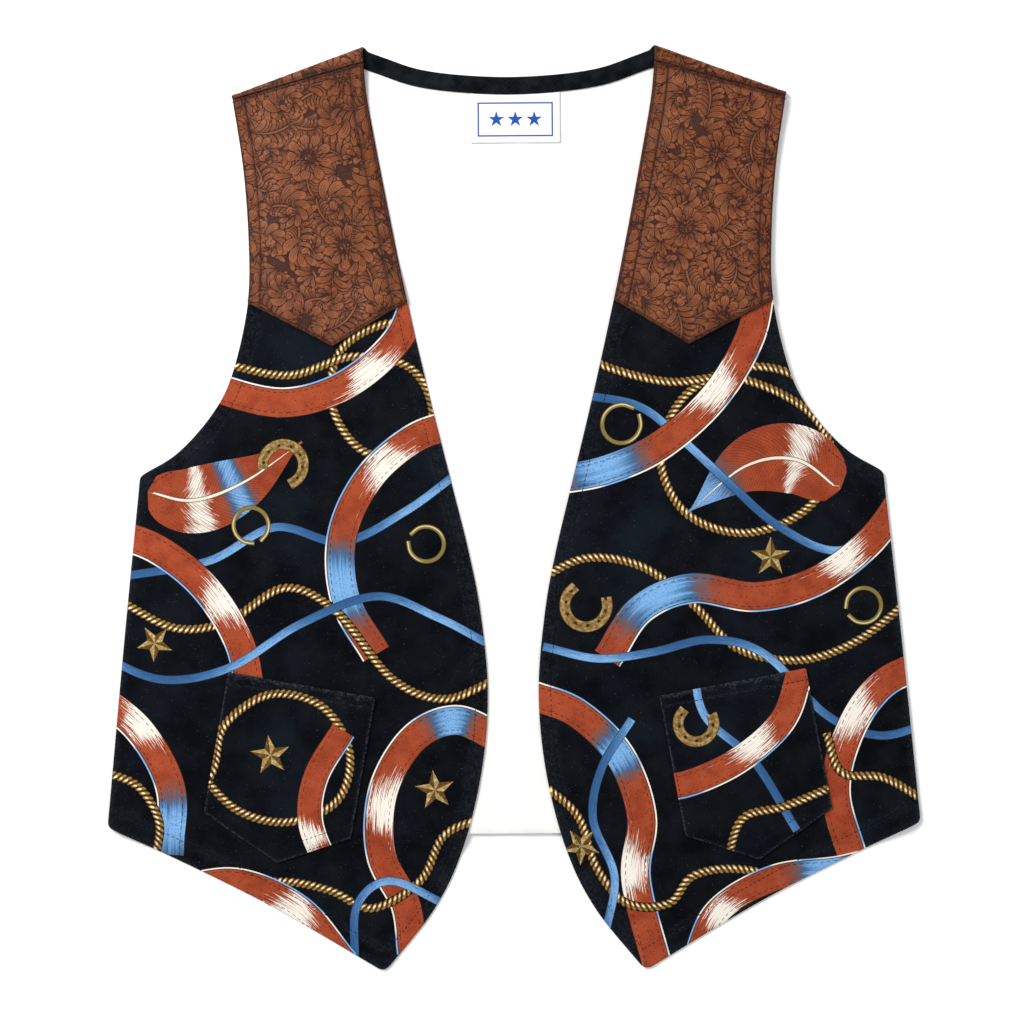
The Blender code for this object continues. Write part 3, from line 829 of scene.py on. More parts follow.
class Recipe(NodeWriter):
    """Writes the nodes of one material."""

    def __init__(self, name: str) -> None:
        """Starts a material that has only its surface shader.

        Args:
            name: Its name.
        """
        self.material = bpy.data.materials.new(name)
        self.material.use_nodes = True
        super().__init__(self.material.node_tree)
        self.place = self.made("ShaderNodeTexCoord", number="Object")

    def mix(self, share: object, low: object, high: object) -> Value:
        """A colour that turns from low to high with the share."""
        return self.made("ShaderNodeMix", {0: share, 6: low, 7: high}, 2, data_type="RGBA")

    def noise(self, scale: float, detail: float = 2.0, place: Value | None = None) -> Value:
        """Cloudy noise from 0 to 1, over the piece or over a place of its own."""
        inputs = {"Vector": place or self.place, "Scale": scale, "Detail": detail}
        return self.made("ShaderNodeTexNoise", inputs)

    def cells(self, scale: float) -> Value:
        """The distance from the nearest of many scattered points."""
        return self.made("ShaderNodeTexVoronoi", {"Vector": self.place, "Scale": scale})

    def parts(self, vector: Value) -> list[Value]:
        """The three numbers of a vector."""
        node = self.node("ShaderNodeSeparateXYZ", {0: vector})
        return [Value(self, socket) for socket in node.outputs]

    def print_map(self, name: str) -> list[Value]:
        """The two numbers of a map on the mesh's corners."""
        return self.parts(self.made("ShaderNodeUVMap", uv_map=name))[:2]

    def number(self, name: str) -> Value:
        """A number kept on the mesh's points."""
        return self.made("ShaderNodeAttribute", number="Fac", attribute_name=name)

    def finish(
        self, colour: Value, roughness: object, height: Value, depth: float, specular: float = 0.03
    ) -> bpy.types.Material:
        """Joins colour, roughness and relief to the shader.

        Args:
            colour: The surface's colour.
            roughness: Its roughness.
            height: The fine relief, from 0 to 1.
            depth: How deep that relief is.
            specular: How strongly it mirrors light, 0.5 for most solids.

        Returns:
            The material.
        """
        bump = self.made("ShaderNodeBump", {"Height": height, "Distance": depth})
        sockets = self.tree.nodes["Principled BSDF"].inputs
        for name, value in (("Base Color", colour), ("Roughness", roughness), ("Normal", bump),
                            ("Specular IOR Level", specular)):
            self.put(sockets[name], value)
        return self.material


@dataclass(frozen=True)
class Twill:
    """Dark cotton twill: a fine diagonal weave with specks of lint, and worn edges and ridges that
    also carry a painted highlight.
    """

    dark: Colour = (0.0016, 0.0022, 0.0036)
    light: Colour = (0.0092, 0.0107, 0.0142)
    lint: Colour = (0.055, 0.062, 0.075)
    worn_and_lit: Colour = (0.034, 0.040, 0.050)
    faded: Colour = (0.0075, 0.0125, 0.0200)
    pitch: float = 0.0011
    depth: float = 0.00012

    def weave(self, recipe: Recipe) -> Value:
        """The height of the diagonal weave, from 0 to 1.

        Args:
            recipe: The material's nodes.

        Returns:
            The height.
        """
        x, y, _ = recipe.parts(recipe.place)
        diagonal = (x + y) * (math.tau / self.pitch / math.sqrt(2)) + recipe.noise(900.0)
        return diagonal.sum("SINE") * 0.5 + 0.5

    def ground(self, recipe: Recipe, weave: Value) -> Value:
        """The unprinted cloth's colour.

        Args:
            recipe: The material's nodes.
            weave: The height of the weave.

        Returns:
            The colour.
        """
        patchy = recipe.noise(60.0, 4.0).step(0.25, 0.75)
        cloth = recipe.mix(weave * patchy, self.dark, self.light)
        washed = recipe.noise(17.0, 3.0).step(0.52, 0.76) * (weave * 0.6 + 0.3)
        cloth = recipe.mix(washed, cloth, self.faded)
        cloth = recipe.mix(recipe.noise(1300.0, 0.0).step(0.80, 0.84) * 0.7, cloth, self.lint)
        # Lighter along edges and seam ridges: wear, and also a painted highlight there.
        rubbed = recipe.noise(700.0, 3.0).step(0.38, 0.62)
        return recipe.mix(recipe.number("wear") * rubbed, cloth, self.worn_and_lit)


@dataclass(frozen=True)
class Print:
    """An ink on twill, darker in the weave's troughs. This one is the bare twill."""

    name: str = "navy_twill"
    twill: Twill = Twill()
    show: float = 0.0
    trough: float = 1.0

    def ink(self, recipe: Recipe, u: Value, v: Value, weave: Value) -> Value:
        """The colour at u metres along the motif and, from -1 to 1, v across it."""
        return self.twill.ground(recipe, weave)

    def material(self) -> bpy.types.Material:
        """The ink's finish.

        Returns:
            The material.
        """
        recipe = Recipe(self.name)
        weave = self.twill.weave(recipe)
        ink = self.ink(recipe, *recipe.print_map("print"), weave)
        level = {0: ink, "Scale": weave * self.show + self.trough}
        ink = recipe.made("ShaderNodeVectorMath", level, operation="SCALE")
        return recipe.finish(ink, 0.8, weave, self.twill.depth)


@dataclass(frozen=True)
class PrintedBand(Print):
    """A wide band: rust with white brush streaks, blue passages and a piped edge."""

    name: str = "printed_band"
    show: float = 0.24
    trough: float = 0.86
    rust: Colour = (0.360, 0.066, 0.026)
    deep_rust: Colour = (0.190, 0.026, 0.010)
    fleck: Colour = (0.10, 0.018, 0.011)
    white: Colour = (0.82, 0.77, 0.68)
    grey: Colour = (0.115, 0.085, 0.078)
    deep_blue: Colour = (0.040, 0.120, 0.265)
    sky_blue: Colour = (0.190, 0.400, 0.700)
    edge_line: Colour = (0.022, 0.010, 0.010)
    dash_pitch: float = 0.0046

    def brushed(self, recipe: Recipe, u: Value, v: Value, tilt: float = -0.30) -> Value:
        """The colour of brushed ink along a motif.

        Args:
            recipe: The material's nodes.
            u: The distance along the brush strokes, in metres.
            v: The place across them, from -1 to 1.
            tilt: How much more white the far side has.

        Returns:
            The ink's colour.
        """
        white_share, blue_share = recipe.print_map("wash")
        stroke = recipe.vector(u * 26.0, v * 11.0)
        streak = recipe.noise(1.7, 6.0, stroke) - 0.5
        broad = recipe.noise(0.5, 2.0, stroke)
        fine = recipe.noise(1200.0, 3.0)
        tone = recipe.noise(90.0, 5.0).step(0.35, 0.70)
        ink = recipe.mix(tone * 0.55, self.rust, self.deep_rust)
        ink = recipe.mix(fine.step(0.60, 0.68), ink, self.fleck)
        pale = (blue_share * 0.55 + broad * 0.6).step(0.55, 0.88)
        blue = recipe.mix(pale, self.deep_blue, self.sky_blue)
        blue = recipe.mix(fine.step(0.60, 0.66), blue, self.deep_blue)
        rough = streak * 1.5 + blue_share
        ink = recipe.mix(rough.step(0.16, 0.42), ink, self.grey)
        ink = recipe.mix(rough.step(0.38, 0.62), ink, blue)
        rough = streak * 2.6 + white_share + v * tilt
        return recipe.mix(rough.step(0.66, 0.78), ink, self.white)

    def ink(self, recipe: Recipe, u: Value, v: Value, weave: Value) -> Value:
        """Brushed ink with piping along one edge and drawn stitches along both.

        Args:
            recipe: The material's nodes.
            u: The distance along the motif, in metres.
            v: The place across it, from -1 to 1.
            weave: The height of the weave.

        Returns:
            The colour.
        """
        ink = self.brushed(recipe, u, v)
        dash = (u / self.dash_pitch).sum("FRACT").step(0.60, 0.52)
        drawn = abs(abs(v) - 0.66).step(0.035, 0.020) * dash
        ink = recipe.mix(drawn * 0.75, ink, self.edge_line)
        ink = recipe.mix(v.step(0.83, 0.86), ink, self.edge_line)
        pale = recipe.mix(recipe.noise(22.0).step(0.48, 0.56), self.white, self.sky_blue)
        ink = recipe.mix(v.step(0.885, 0.915), ink, pale)
        return recipe.mix(v.step(-0.92, -0.97), ink, self.edge_line)


@dataclass(frozen=True)
class PrintedFeather(PrintedBand):
    """A broad feather: brushed barbs that lean out from a pale quill."""

    name: str = "printed_feather"
    show: float = 0.22
    trough: float = 0.82
    quill: Colour = (0.80, 0.72, 0.58)

    def ink(self, recipe: Recipe, u: Value, v: Value, weave: Value) -> Value:
        """Barbs of brushed ink, split here and there, and the quill.

        Args:
            recipe: The material's nodes.
            u: The distance along the motif, in metres.
            v: The place across it, from -1 to 1.
            weave: The height of the weave.

        Returns:
            The colour.
        """
        out = abs(v)
        lean = out * -0.020 + u
        ink = self.brushed(recipe, out * 0.05, lean * 130.0, 0.0)
        split = (lean * 420.0).sum("FRACT").step(0.70, 0.92) * 0.6
        ink = recipe.mix(split, ink, self.fleck)
        ink = recipe.mix(out.step(0.075, 0.05), ink, self.edge_line)
        return recipe.mix(out.step(0.055, 0.03), ink, self.quill)


@dataclass(frozen=True)
class PrintedRibbon(Print):
    """A slim ribbon: blue, hatched, turning from light to deep along its length."""

    name: str = "printed_ribbon"
    show: float = 0.22
    trough: float = 0.82
    deep: Colour = (0.030, 0.095, 0.230)
    mid: Colour = (0.070, 0.185, 0.400)
    sky: Colour = (0.215, 0.430, 0.720)
    edge: Colour = (0.014, 0.032, 0.075)

    def ink(self, recipe: Recipe, u: Value, v: Value, weave: Value) -> Value:
        """Hatched blues with a dark edge.

        Args:
            recipe: The material's nodes.
            u: The distance along the motif, in metres.
            v: The place across it, from -1 to 1.
            weave: The height of the weave.

        Returns:
            The colour.
        """
        hatch = recipe.noise(2.0, 4.0, recipe.vector(u * 60.0, v * 5.0)) - 0.5
        light = (u * 47.0).sum("SINE") * 0.42 + v * -0.18 + 0.45 + hatch * 1.5
        ink = recipe.mix(light.step(0.0, 0.6), self.deep, self.mid)
        ink = recipe.mix(light.step(0.5, 1.0), ink, self.sky)
        ink = recipe.mix(recipe.noise(1500.0, 1.0).step(0.56, 0.64) * 0.55, ink, self.deep)
        return recipe.mix(abs(v).step(0.80, 0.95), ink, self.edge)


@dataclass(frozen=True)
class PrintedCord(Print):
    """A twisted gold cord: slanted strands with dark gaps and cream highlights."""

    name: str = "printed_cord"
    pitch: float = 0.0037
    slant: float = 0.0022
    gap: Colour = (0.034, 0.016, 0.005)
    bronze: Colour = (0.125, 0.062, 0.014)
    gold: Colour = (0.290, 0.172, 0.048)
    cream: Colour = (0.86, 0.70, 0.43)

    def ink(self, recipe: Recipe, u: Value, v: Value, weave: Value) -> Value:
        """Strands that give the cord a scalloped edge on the twill.

        Args:
            recipe: The material's nodes.
            u: The distance along the motif, in metres.
            v: The place across it, from -1 to 1.
            weave: The height of the weave.

        Returns:
            The colour.
        """
        sway = recipe.noise(260.0)
        strand = ((v * self.slant + sway * 0.0011 + u) / self.pitch).sum("FRACT")
        crown = (strand * math.pi).sum("SINE")
        ink = recipe.mix(crown.step(0.20, 0.50), self.gap, self.bronze)
        ink = recipe.mix(crown.step(0.55, 0.95), ink, self.gold)
        lit = crown - abs(v - 0.22) * 0.85 + (sway - 0.5) * 0.5
        ink = recipe.mix(lit.step(0.62, 0.80), ink, self.cream)
        reach = abs(v) - crown * 0.34
        ink = recipe.mix(reach.step(0.44, 0.60), ink, self.gap)
        return recipe.mix(reach.step(0.60, 0.68), ink, self.twill.ground(recipe, weave))


@dataclass(frozen=True)
class PrintedTube(Print):
    """A slim brass tube with dark edges and a pale line along its crown."""

    name: str = "printed_tube"
    dark: Colour = (0.055, 0.036, 0.010)
    brass: Colour = (0.200, 0.150, 0.045)
    pale: Colour = (0.640, 0.530, 0.280)

    def ink(self, recipe: Recipe, u: Value, v: Value, weave: Value) -> Value:
        """Brass, lit along its crown.

        Args:
            recipe: The material's nodes.
            u: The distance along the motif, in metres.
            v: The place across it, from -1 to 1.
            weave: The height of the weave.

        Returns:
            The colour.
        """
        lit = abs(v + 0.2).step(0.34, 0.16) * (u * 120.0).sum("SINE").step(-0.5, 0.6)
        ink = recipe.mix(lit, self.brass, self.pale)
        return recipe.mix(abs(v).step(0.62, 0.92), ink, self.dark)


@dataclass(frozen=True)
class PrintedShoe(Print):
    """A brass horseshoe: a grooved bar with nail holes and dark edges."""

    name: str = "printed_horseshoe"
    show: float = 0.22
    trough: float = 0.82
    dark: Colour = (0.040, 0.019, 0.006)
    brass: Colour = (0.190, 0.108, 0.030)
    lit: Colour = (0.440, 0.300, 0.120)
    hole_pitch: float = 0.0085

    def ink(self, recipe: Recipe, u: Value, v: Value, weave: Value) -> Value:
        """Worn brass with a groove and holes.

        Args:
            recipe: The material's nodes.
            u: The distance along the motif, in metres.
            v: The place across it, from -1 to 1.
            weave: The height of the weave.

        Returns:
            The colour.
        """
        ink = recipe.mix(recipe.noise(420.0, 3.0).step(0.35, 0.7), self.brass, self.lit)
        groove = abs(v - 0.15).step(0.34, 0.24)
        ink = recipe.mix(groove * 0.40, ink, self.dark)
        hole = abs((u / self.hole_pitch).sum("FRACT") - 0.5).step(0.16, 0.09)
        ink = recipe.mix(hole * abs(v - 0.15).step(0.28, 0.18), ink, self.dark)
        return recipe.mix(abs(v).step(0.82, 0.94), ink, self.dark)


@dataclass(frozen=True)
class PrintedFacet(Print):
    """One kind of facet of a printed star."""

    show: float = 0.22
    trough: float = 0.82
    colour: Colour = (0.34, 0.225, 0.070)
    speck: Colour = (0.60, 0.48, 0.26)

    def ink(self, recipe: Recipe, u: Value, v: Value, weave: Value) -> Value:
        """Worn ink with specks."""
        return recipe.mix(recipe.noise(520.0, 4.0).step(0.45, 0.70), self.colour, self.speck)


@dataclass(frozen=True)
class ToolingFinish:
    """Faux leather, tooled: sienna relief on a darker stippled ground, with painted shade in its
    grooves and a painted sheen on its folds.
    """

    name: str = "tooled_leather"
    raised: Colour = (0.180, 0.052, 0.0185)
    lit: Colour = (0.262, 0.087, 0.036)
    ground: Colour = (0.070, 0.0235, 0.0145)
    line: Colour = (0.023, 0.0055, 0.0028)
    # Amber colour of the painted sheen on the folded bands.
    painted_sheen: Colour = (0.205, 0.050, 0.011)
    depth: float = 0.00010

    def material(self) -> bpy.types.Material:
        """The leather's finish, which reads the carving, the painted groove shade and the painted
        sheen kept on the mesh.

        Returns:
            The material.
        """
        recipe = Recipe(self.name)
        raised, line, fold = (recipe.number(n) for n in ("raised", "cut_line", "fold_band"))
        grain = recipe.cells(1500.0)
        rubbed = (recipe.noise(38.0, 4.0) * 0.9 + grain * 0.25).step(0.35, 0.85)
        high = recipe.mix(rubbed, self.raised, self.lit)
        # Painted sheen: amber patches on the folded bands and over the shoulders.
        high = recipe.mix(fold * 0.55, high, self.painted_sheen)
        dots = recipe.cells(1000.0).step(0.15, 0.55)
        low = recipe.mix(dots * 0.6, self.ground, self.line)
        colour = recipe.mix(raised.step(0.12, 0.55), low, high)
        # Dark carved lines, and painted shade in the seam grooves.
        colour = recipe.mix(line * 0.9, colour, self.line)
        gloss = raised * -0.08 + fold * -0.06 + 0.52
        return recipe.finish(colour, gloss, (grain - dots) * 0.5, self.depth, 0.12)


@dataclass(frozen=True)
class PlainCloth:
    """A plain woven cloth with two sets of threads and cloudy shading."""

    name: str
    colour: Colour
    shadow: Colour
    pitch: float
    depth: float
    roughness: float
    diagonal: bool = False
    specular: float = 0.05
    cloud_scale: float = 55.0
    weave_share: float = 0.35

    def material(self) -> bpy.types.Material:
        """The cloth's finish.

        Returns:
            The material.
        """
        recipe = Recipe(self.name)
        x, y, _ = recipe.parts(recipe.place)
        turn, slow = math.tau / self.pitch, 1.0
        if self.diagonal:
            x, y = x + y, x - y
            turn, slow = turn / math.sqrt(2), 0.2
        weave = ((x * turn).sum("SINE") + (y * (turn * slow)).sum("SINE")) * 0.25 + 0.5
        cloud = recipe.noise(self.cloud_scale, 4.0) * (0.85 - self.weave_share)
        share = (weave * self.weave_share + cloud).step(0.2, 0.7)
        colour = recipe.mix(share, self.shadow, self.colour)
        return recipe.finish(colour, self.roughness, weave, self.depth, self.specular)


@dataclass(frozen=True)
class Thread:
    """Sewing thread with uneven dye."""

    name: str
    colour: Colour
    shadow: Colour

    def material(self) -> bpy.types.Material:
        """The thread's finish.

        Returns:
            The material.
        """
        recipe = Recipe(self.name)
        dye = recipe.noise(900.0)
        colour = recipe.mix(dye.step(0.3, 0.7), self.shadow, self.colour)
        return recipe.finish(colour, 0.6, dye, 0.00005)


@dataclass(frozen=True)
class LabelCloth:
    """White woven cloth with a blue border and a row of blue stars."""

    name: str = "woven_label"
    middle: Place = (0.0040, 0.2560)
    border: Place = (0.0244, 0.0108)
    white: tuple[Colour, Colour] = ((0.72, 0.73, 0.78), (0.84, 0.85, 0.90))
    blue: tuple[Colour, Colour] = ((0.010, 0.055, 0.260), (0.022, 0.100, 0.400))
    star_pitch: float = 0.0125
    star_reach: float = 0.00172

    def stars(self, recipe: Recipe, x: Value, y: Value) -> Value:
        """Three stars side by side.

        Args:
            recipe: The material's nodes.
            x: The place along the label, from its middle.
            y: The place across it.

        Returns:
            1 on a star and 0 beside it.
        """
        tenth, pitch = math.pi / 5, self.star_pitch
        cell = (x + pitch * 1.5) % pitch - pitch / 2
        lap = abs((cell.sum("ARCTAN2", y) + tenth) % (2 * tenth) - tenth)
        edge = (lap * -1.0 + 1.257).sum("COSINE").sum("POWER", -1.0) * self.star_reach
        reach = (cell * cell + y * y).sum("SQRT")
        star = (reach - edge).step(0.00012, -0.00012)
        return star * abs(x).sum("LESS_THAN", pitch * 1.5)

    def material(self) -> bpy.types.Material:
        """The label's finish.

        Returns:
            The material.
        """
        recipe = Recipe(self.name)
        x, y, _ = recipe.parts(recipe.place)
        x, y = x - self.middle[0], y - self.middle[1]
        weave = (y * (math.tau / 0.00055)).sum("SINE") * 0.5 + 0.5
        white, blue = recipe.mix(weave, *self.white), recipe.mix(weave, *self.blue)
        border = (abs(x) - self.border[0]).sum("MAXIMUM", abs(y) - self.border[1])
        drawn = abs(border).step(0.0006, 0.0004).sum("MAXIMUM", self.stars(recipe, x, y))
        return recipe.finish(recipe.mix(drawn, white, blue), 0.62, weave, 0.00006, 0.1)


class Ink(Enum):
    """What a triangle of a printed piece shows."""

    GROUND = 0
    BAND = 1
    RIBBON = 2
    CORD = 3
    SHOE = 4
    LIGHT_FACET = 5
    DARK_FACET = 6
    FEATHER = 7
    TUBE = 8


INKS: dict[Ink, Print] = {
    Ink.GROUND: Print(),
    Ink.BAND: PrintedBand(),
    Ink.RIBBON: PrintedRibbon(),
    Ink.CORD: PrintedCord(),
    Ink.SHOE: PrintedShoe(),
    Ink.LIGHT_FACET: PrintedFacet("printed_star_light"),
    Ink.DARK_FACET: PrintedFacet(
        "printed_star_dark", colour=(0.095, 0.050, 0.012), speck=(0.17, 0.10, 0.03)),
    Ink.FEATHER: PrintedFeather(),
    Ink.TUBE: PrintedTube(),
}

CLOTHS = (
    ToolingFinish(),
    LabelCloth(),
    PlainCloth("plain_back_twill", (0.012, 0.015, 0.022), (0.004, 0.006, 0.010),
               0.0011, 0.00012, 0.8, True),
    PlainCloth("cream_lining", (0.88, 0.87, 0.85), (0.80, 0.79, 0.77), 0.0007, 0.00004, 0.85),
    PlainCloth("satin_facing", (0.0105, 0.0130, 0.0170), (0.0008, 0.0012, 0.0020),
               0.0005, 0.00003, 0.5, True, 0.03, 120.0, 0.10),
    Thread("navy_thread", (0.010, 0.013, 0.022), (0.004, 0.005, 0.010)),
    Thread("brown_thread", (0.075, 0.024, 0.014), (0.030, 0.010, 0.007)),
    Thread("white_thread", (0.80, 0.80, 0.82), (0.62, 0.62, 0.66)),
)


class Wardrobe:
    """All the finishes, each made once."""

    def __init__(self) -> None:
        """Makes the finishes."""
        self.inks = [INKS[ink].material() for ink in Ink]
        self.cloths = {cloth.name: cloth.material() for cloth in CLOTHS}


@dataclass(frozen=True)
class Strip:
    """A printed motif that follows a line. Knots are in millimetres on the page."""

    ink: Ink
    knots: tuple[Place, ...]
    width: float
    white: tuple[Place, ...] = ()
    blue: tuple[Place, ...] = ()
    step: float = 0.003
    run: float = 0.045

    @cached_property
    def spine(self) -> Array:
        """The line that the motif follows."""
        return curve_through(np.array(self.knots) * MM, self.step)

    @cached_property
    def lengths(self) -> Array:
        """The length along the spine to each of its points."""
        runs = np.linalg.norm(np.diff(self.spine, axis=0), axis=1)
        return np.concatenate([[0.0], np.cumsum(runs)])

    def half_width(self, along: Array) -> Array:
        """Half the motif's width at lengths along its spine.

        Args:
            along: The lengths.

        Returns:
            Half the width at each: that of a leaf for a feather, else the same all along.
        """
        if self.ink is not Ink.FEATHER:
            return np.full(len(along), self.width * MM / 2)
        share = np.clip(along / self.lengths[-1], 0.0, 1.0)
        leaf = np.sin(math.pi * share**0.62) ** (0.60 + 0.55 * share)
        return self.width * MM / 2 * np.maximum(leaf, 0.04)

    @cached_property
    def sides(self) -> tuple[Array, Array]:
        """The motif's left and right edge.

        Returns:
            The points of both.
        """
        unit = aside_of(self.spine, 1.0) - self.spine
        unit /= np.linalg.norm(unit, axis=1)[:, None]
        out = unit * self.half_width(self.lengths)[:, None]
        return self.spine + out, self.spine - out

    def lines(self) -> list[Array]:
        """The motif's outline as one closed line."""
        return [closed(np.vstack([self.sides[0], self.sides[1][::-1]]))]

    def wash(self, along: Array) -> Array:
        """How white and how blue the ink is at lengths along the spine, from 0 to 1.

        Args:
            along: The lengths.

        Returns:
            Both shares at each length.
        """
        amounts = []
        for zones in (self.white, self.blue):
            level = np.zeros_like(along)
            for centre, spread in zones:
                level = np.maximum(level, hump(along - centre * MM, spread * MM))
            amounts.append(level)
        return np.stack(amounts, axis=-1)

    def paint(self, layout: Layout, centres: Array, page: Paint) -> None:
        """Claims the motif's triangles and maps their corners along and across it.

        Args:
            layout: The cloth's triangles.
            centres: The middle of each.
            page: What the cloth carries.
        """
        left, right = self.sides
        count = max(1, round(self.lengths[-1] / self.run))
        marks = np.linspace(0, len(self.spine) - 1, count + 1).astype(int)
        for start, end in zip(marks[:-1], marks[1:] + 1):
            outline = np.vstack([left[start:end], right[start:end][::-1]])
            chosen = np.flatnonzero(inside(outline, centres))
            if not len(chosen):
                continue
            first, last = max(start - 2, 0), min(end + 2, len(self.spine))
            corners = layout.points[layout.triangles[chosen]].reshape(-1, 2)
            along, aside = nearest(self.spine[first:last], corners)
            along += self.lengths[first]
            place = np.column_stack([along, aside / self.half_width(along)])
            page.inks[chosen] = self.ink.value
            page.maps["print"][chosen] = place.reshape(-1, 3, 2)
            page.maps["wash"][chosen] = self.wash(along).reshape(-1, 3, 2)


@dataclass(frozen=True)
class Star:
    """A printed five-pointed star with a light and a dark facet on each point."""

    centre: Place
    radius: float
    turn: float
    waist: float = 0.42

    @cached_property
    def middle(self) -> Array:
        """The star's middle on the page."""
        return np.array(self.centre) * MM

    @cached_property
    def tips(self) -> Array:
        """The star's ten corners.

        Returns:
            The corners.
        """
        angles = self.turn + math.pi / 5 * np.arange(10)
        reach = np.where(np.arange(10) % 2, self.waist, 1.0) * self.radius * MM
        return self.middle + np.column_stack([np.cos(angles), np.sin(angles)]) * reach[:, None]

    def lines(self) -> list[Array]:
        """The star's outline and the ridges from its middle."""
        return [closed(self.tips), *(np.array([self.middle, tip]) for tip in self.tips)]

    def paint(self, layout: Layout, centres: Array, page: Paint) -> None:
        """Claims the star's triangles for its two kinds of facet.

        Args:
            layout: The cloth's triangles.
            centres: The middle of each.
            page: What the cloth carries.
        """
        chosen = np.flatnonzero(inside(self.tips, centres))
        x, y = (centres[chosen] - self.middle).T
        sector = np.floor((np.arctan2(y, x) - self.turn) / (math.pi / 5)).astype(int)
        page.inks[chosen] = np.where(sector % 2, Ink.DARK_FACET.value, Ink.LIGHT_FACET.value)


Motifs = tuple[Strip | Star, ...]


def printed(layout: Layout, motifs: Motifs) -> Paint:
    """Paints the motifs on a layout, the later ones over the earlier.

    Args:
        layout: The cloth's triangles, whose edges follow the motifs.
        motifs: The motifs.

    Returns:
        The ink of each triangle, and its corners' places within the motif.
    """
    count = len(layout.triangles)
    page = Paint(np.zeros(count, int), {n: np.zeros((count, 3, 2)) for n in ("print", "wash")})
    centres = layout.points[layout.triangles].mean(axis=1)
    for motif in motifs:
        motif.paint(layout, centres, page)
    return page


def band(knots: tuple, white: tuple = (), blue: tuple = (), width: float = 20.0) -> Strip:
    """A brushed band through the knots, in millimetres."""
    return Strip(Ink.BAND, knots, width, white, blue)


def ribbon(*knots: Place) -> Strip:
    """A slim blue ribbon through the knots, in millimetres."""
    return Strip(Ink.RIBBON, knots, 5.8)


def rope(*knots: Place) -> Strip:
    """A twisted cord through the knots, in millimetres."""
    return Strip(Ink.CORD, knots, 6.2, step=0.0025)


def feather(knots: tuple, white: tuple = (), blue: tuple = (), width: float = 40.0) -> Strip:
    """A broad feather from its quill's foot to its tip, in millimetres."""
    return Strip(Ink.FEATHER, knots, width, white, blue, run=0.2)


def arc(
    ink: Ink, centre: Place, turn: float, size: float, width: float, step: float = 27.0
) -> Strip:
    """A bar bent round a place, in millimetres and degrees.

    Args:
        ink: What the bar shows.
        centre: The place that it goes round.
        turn: The direction to which it is open.
        size: Its radius.
        width: How wide the bar is.
        step: A tenth of how far it goes round.

    Returns:
        The motif.
    """
    knots = []
    for number in range(-5, 6):
        reach = size * (1.0 + 0.16 * (abs(number) / 5) ** 2)
        knots.append(centre + reach * towards_angle(math.radians(turn + 180 + number * step)))
    return Strip(ink, tuple(map(tuple, knots)), width, step=0.002, run=0.2)


def horseshoe(x: float, y: float, turn: float, size: float = 15.0) -> Strip:
    """A horseshoe about a place, in millimetres and degrees."""
    return arc(Ink.SHOE, (x, y), turn, size, 7.5)


def hook(x: float, y: float, turn: float, size: float = 12.0) -> Strip:
    """A slim brass loop, not quite closed, in millimetres and degrees."""
    return arc(Ink.TUBE, (x, y), turn, size, 3.0, 34.0)


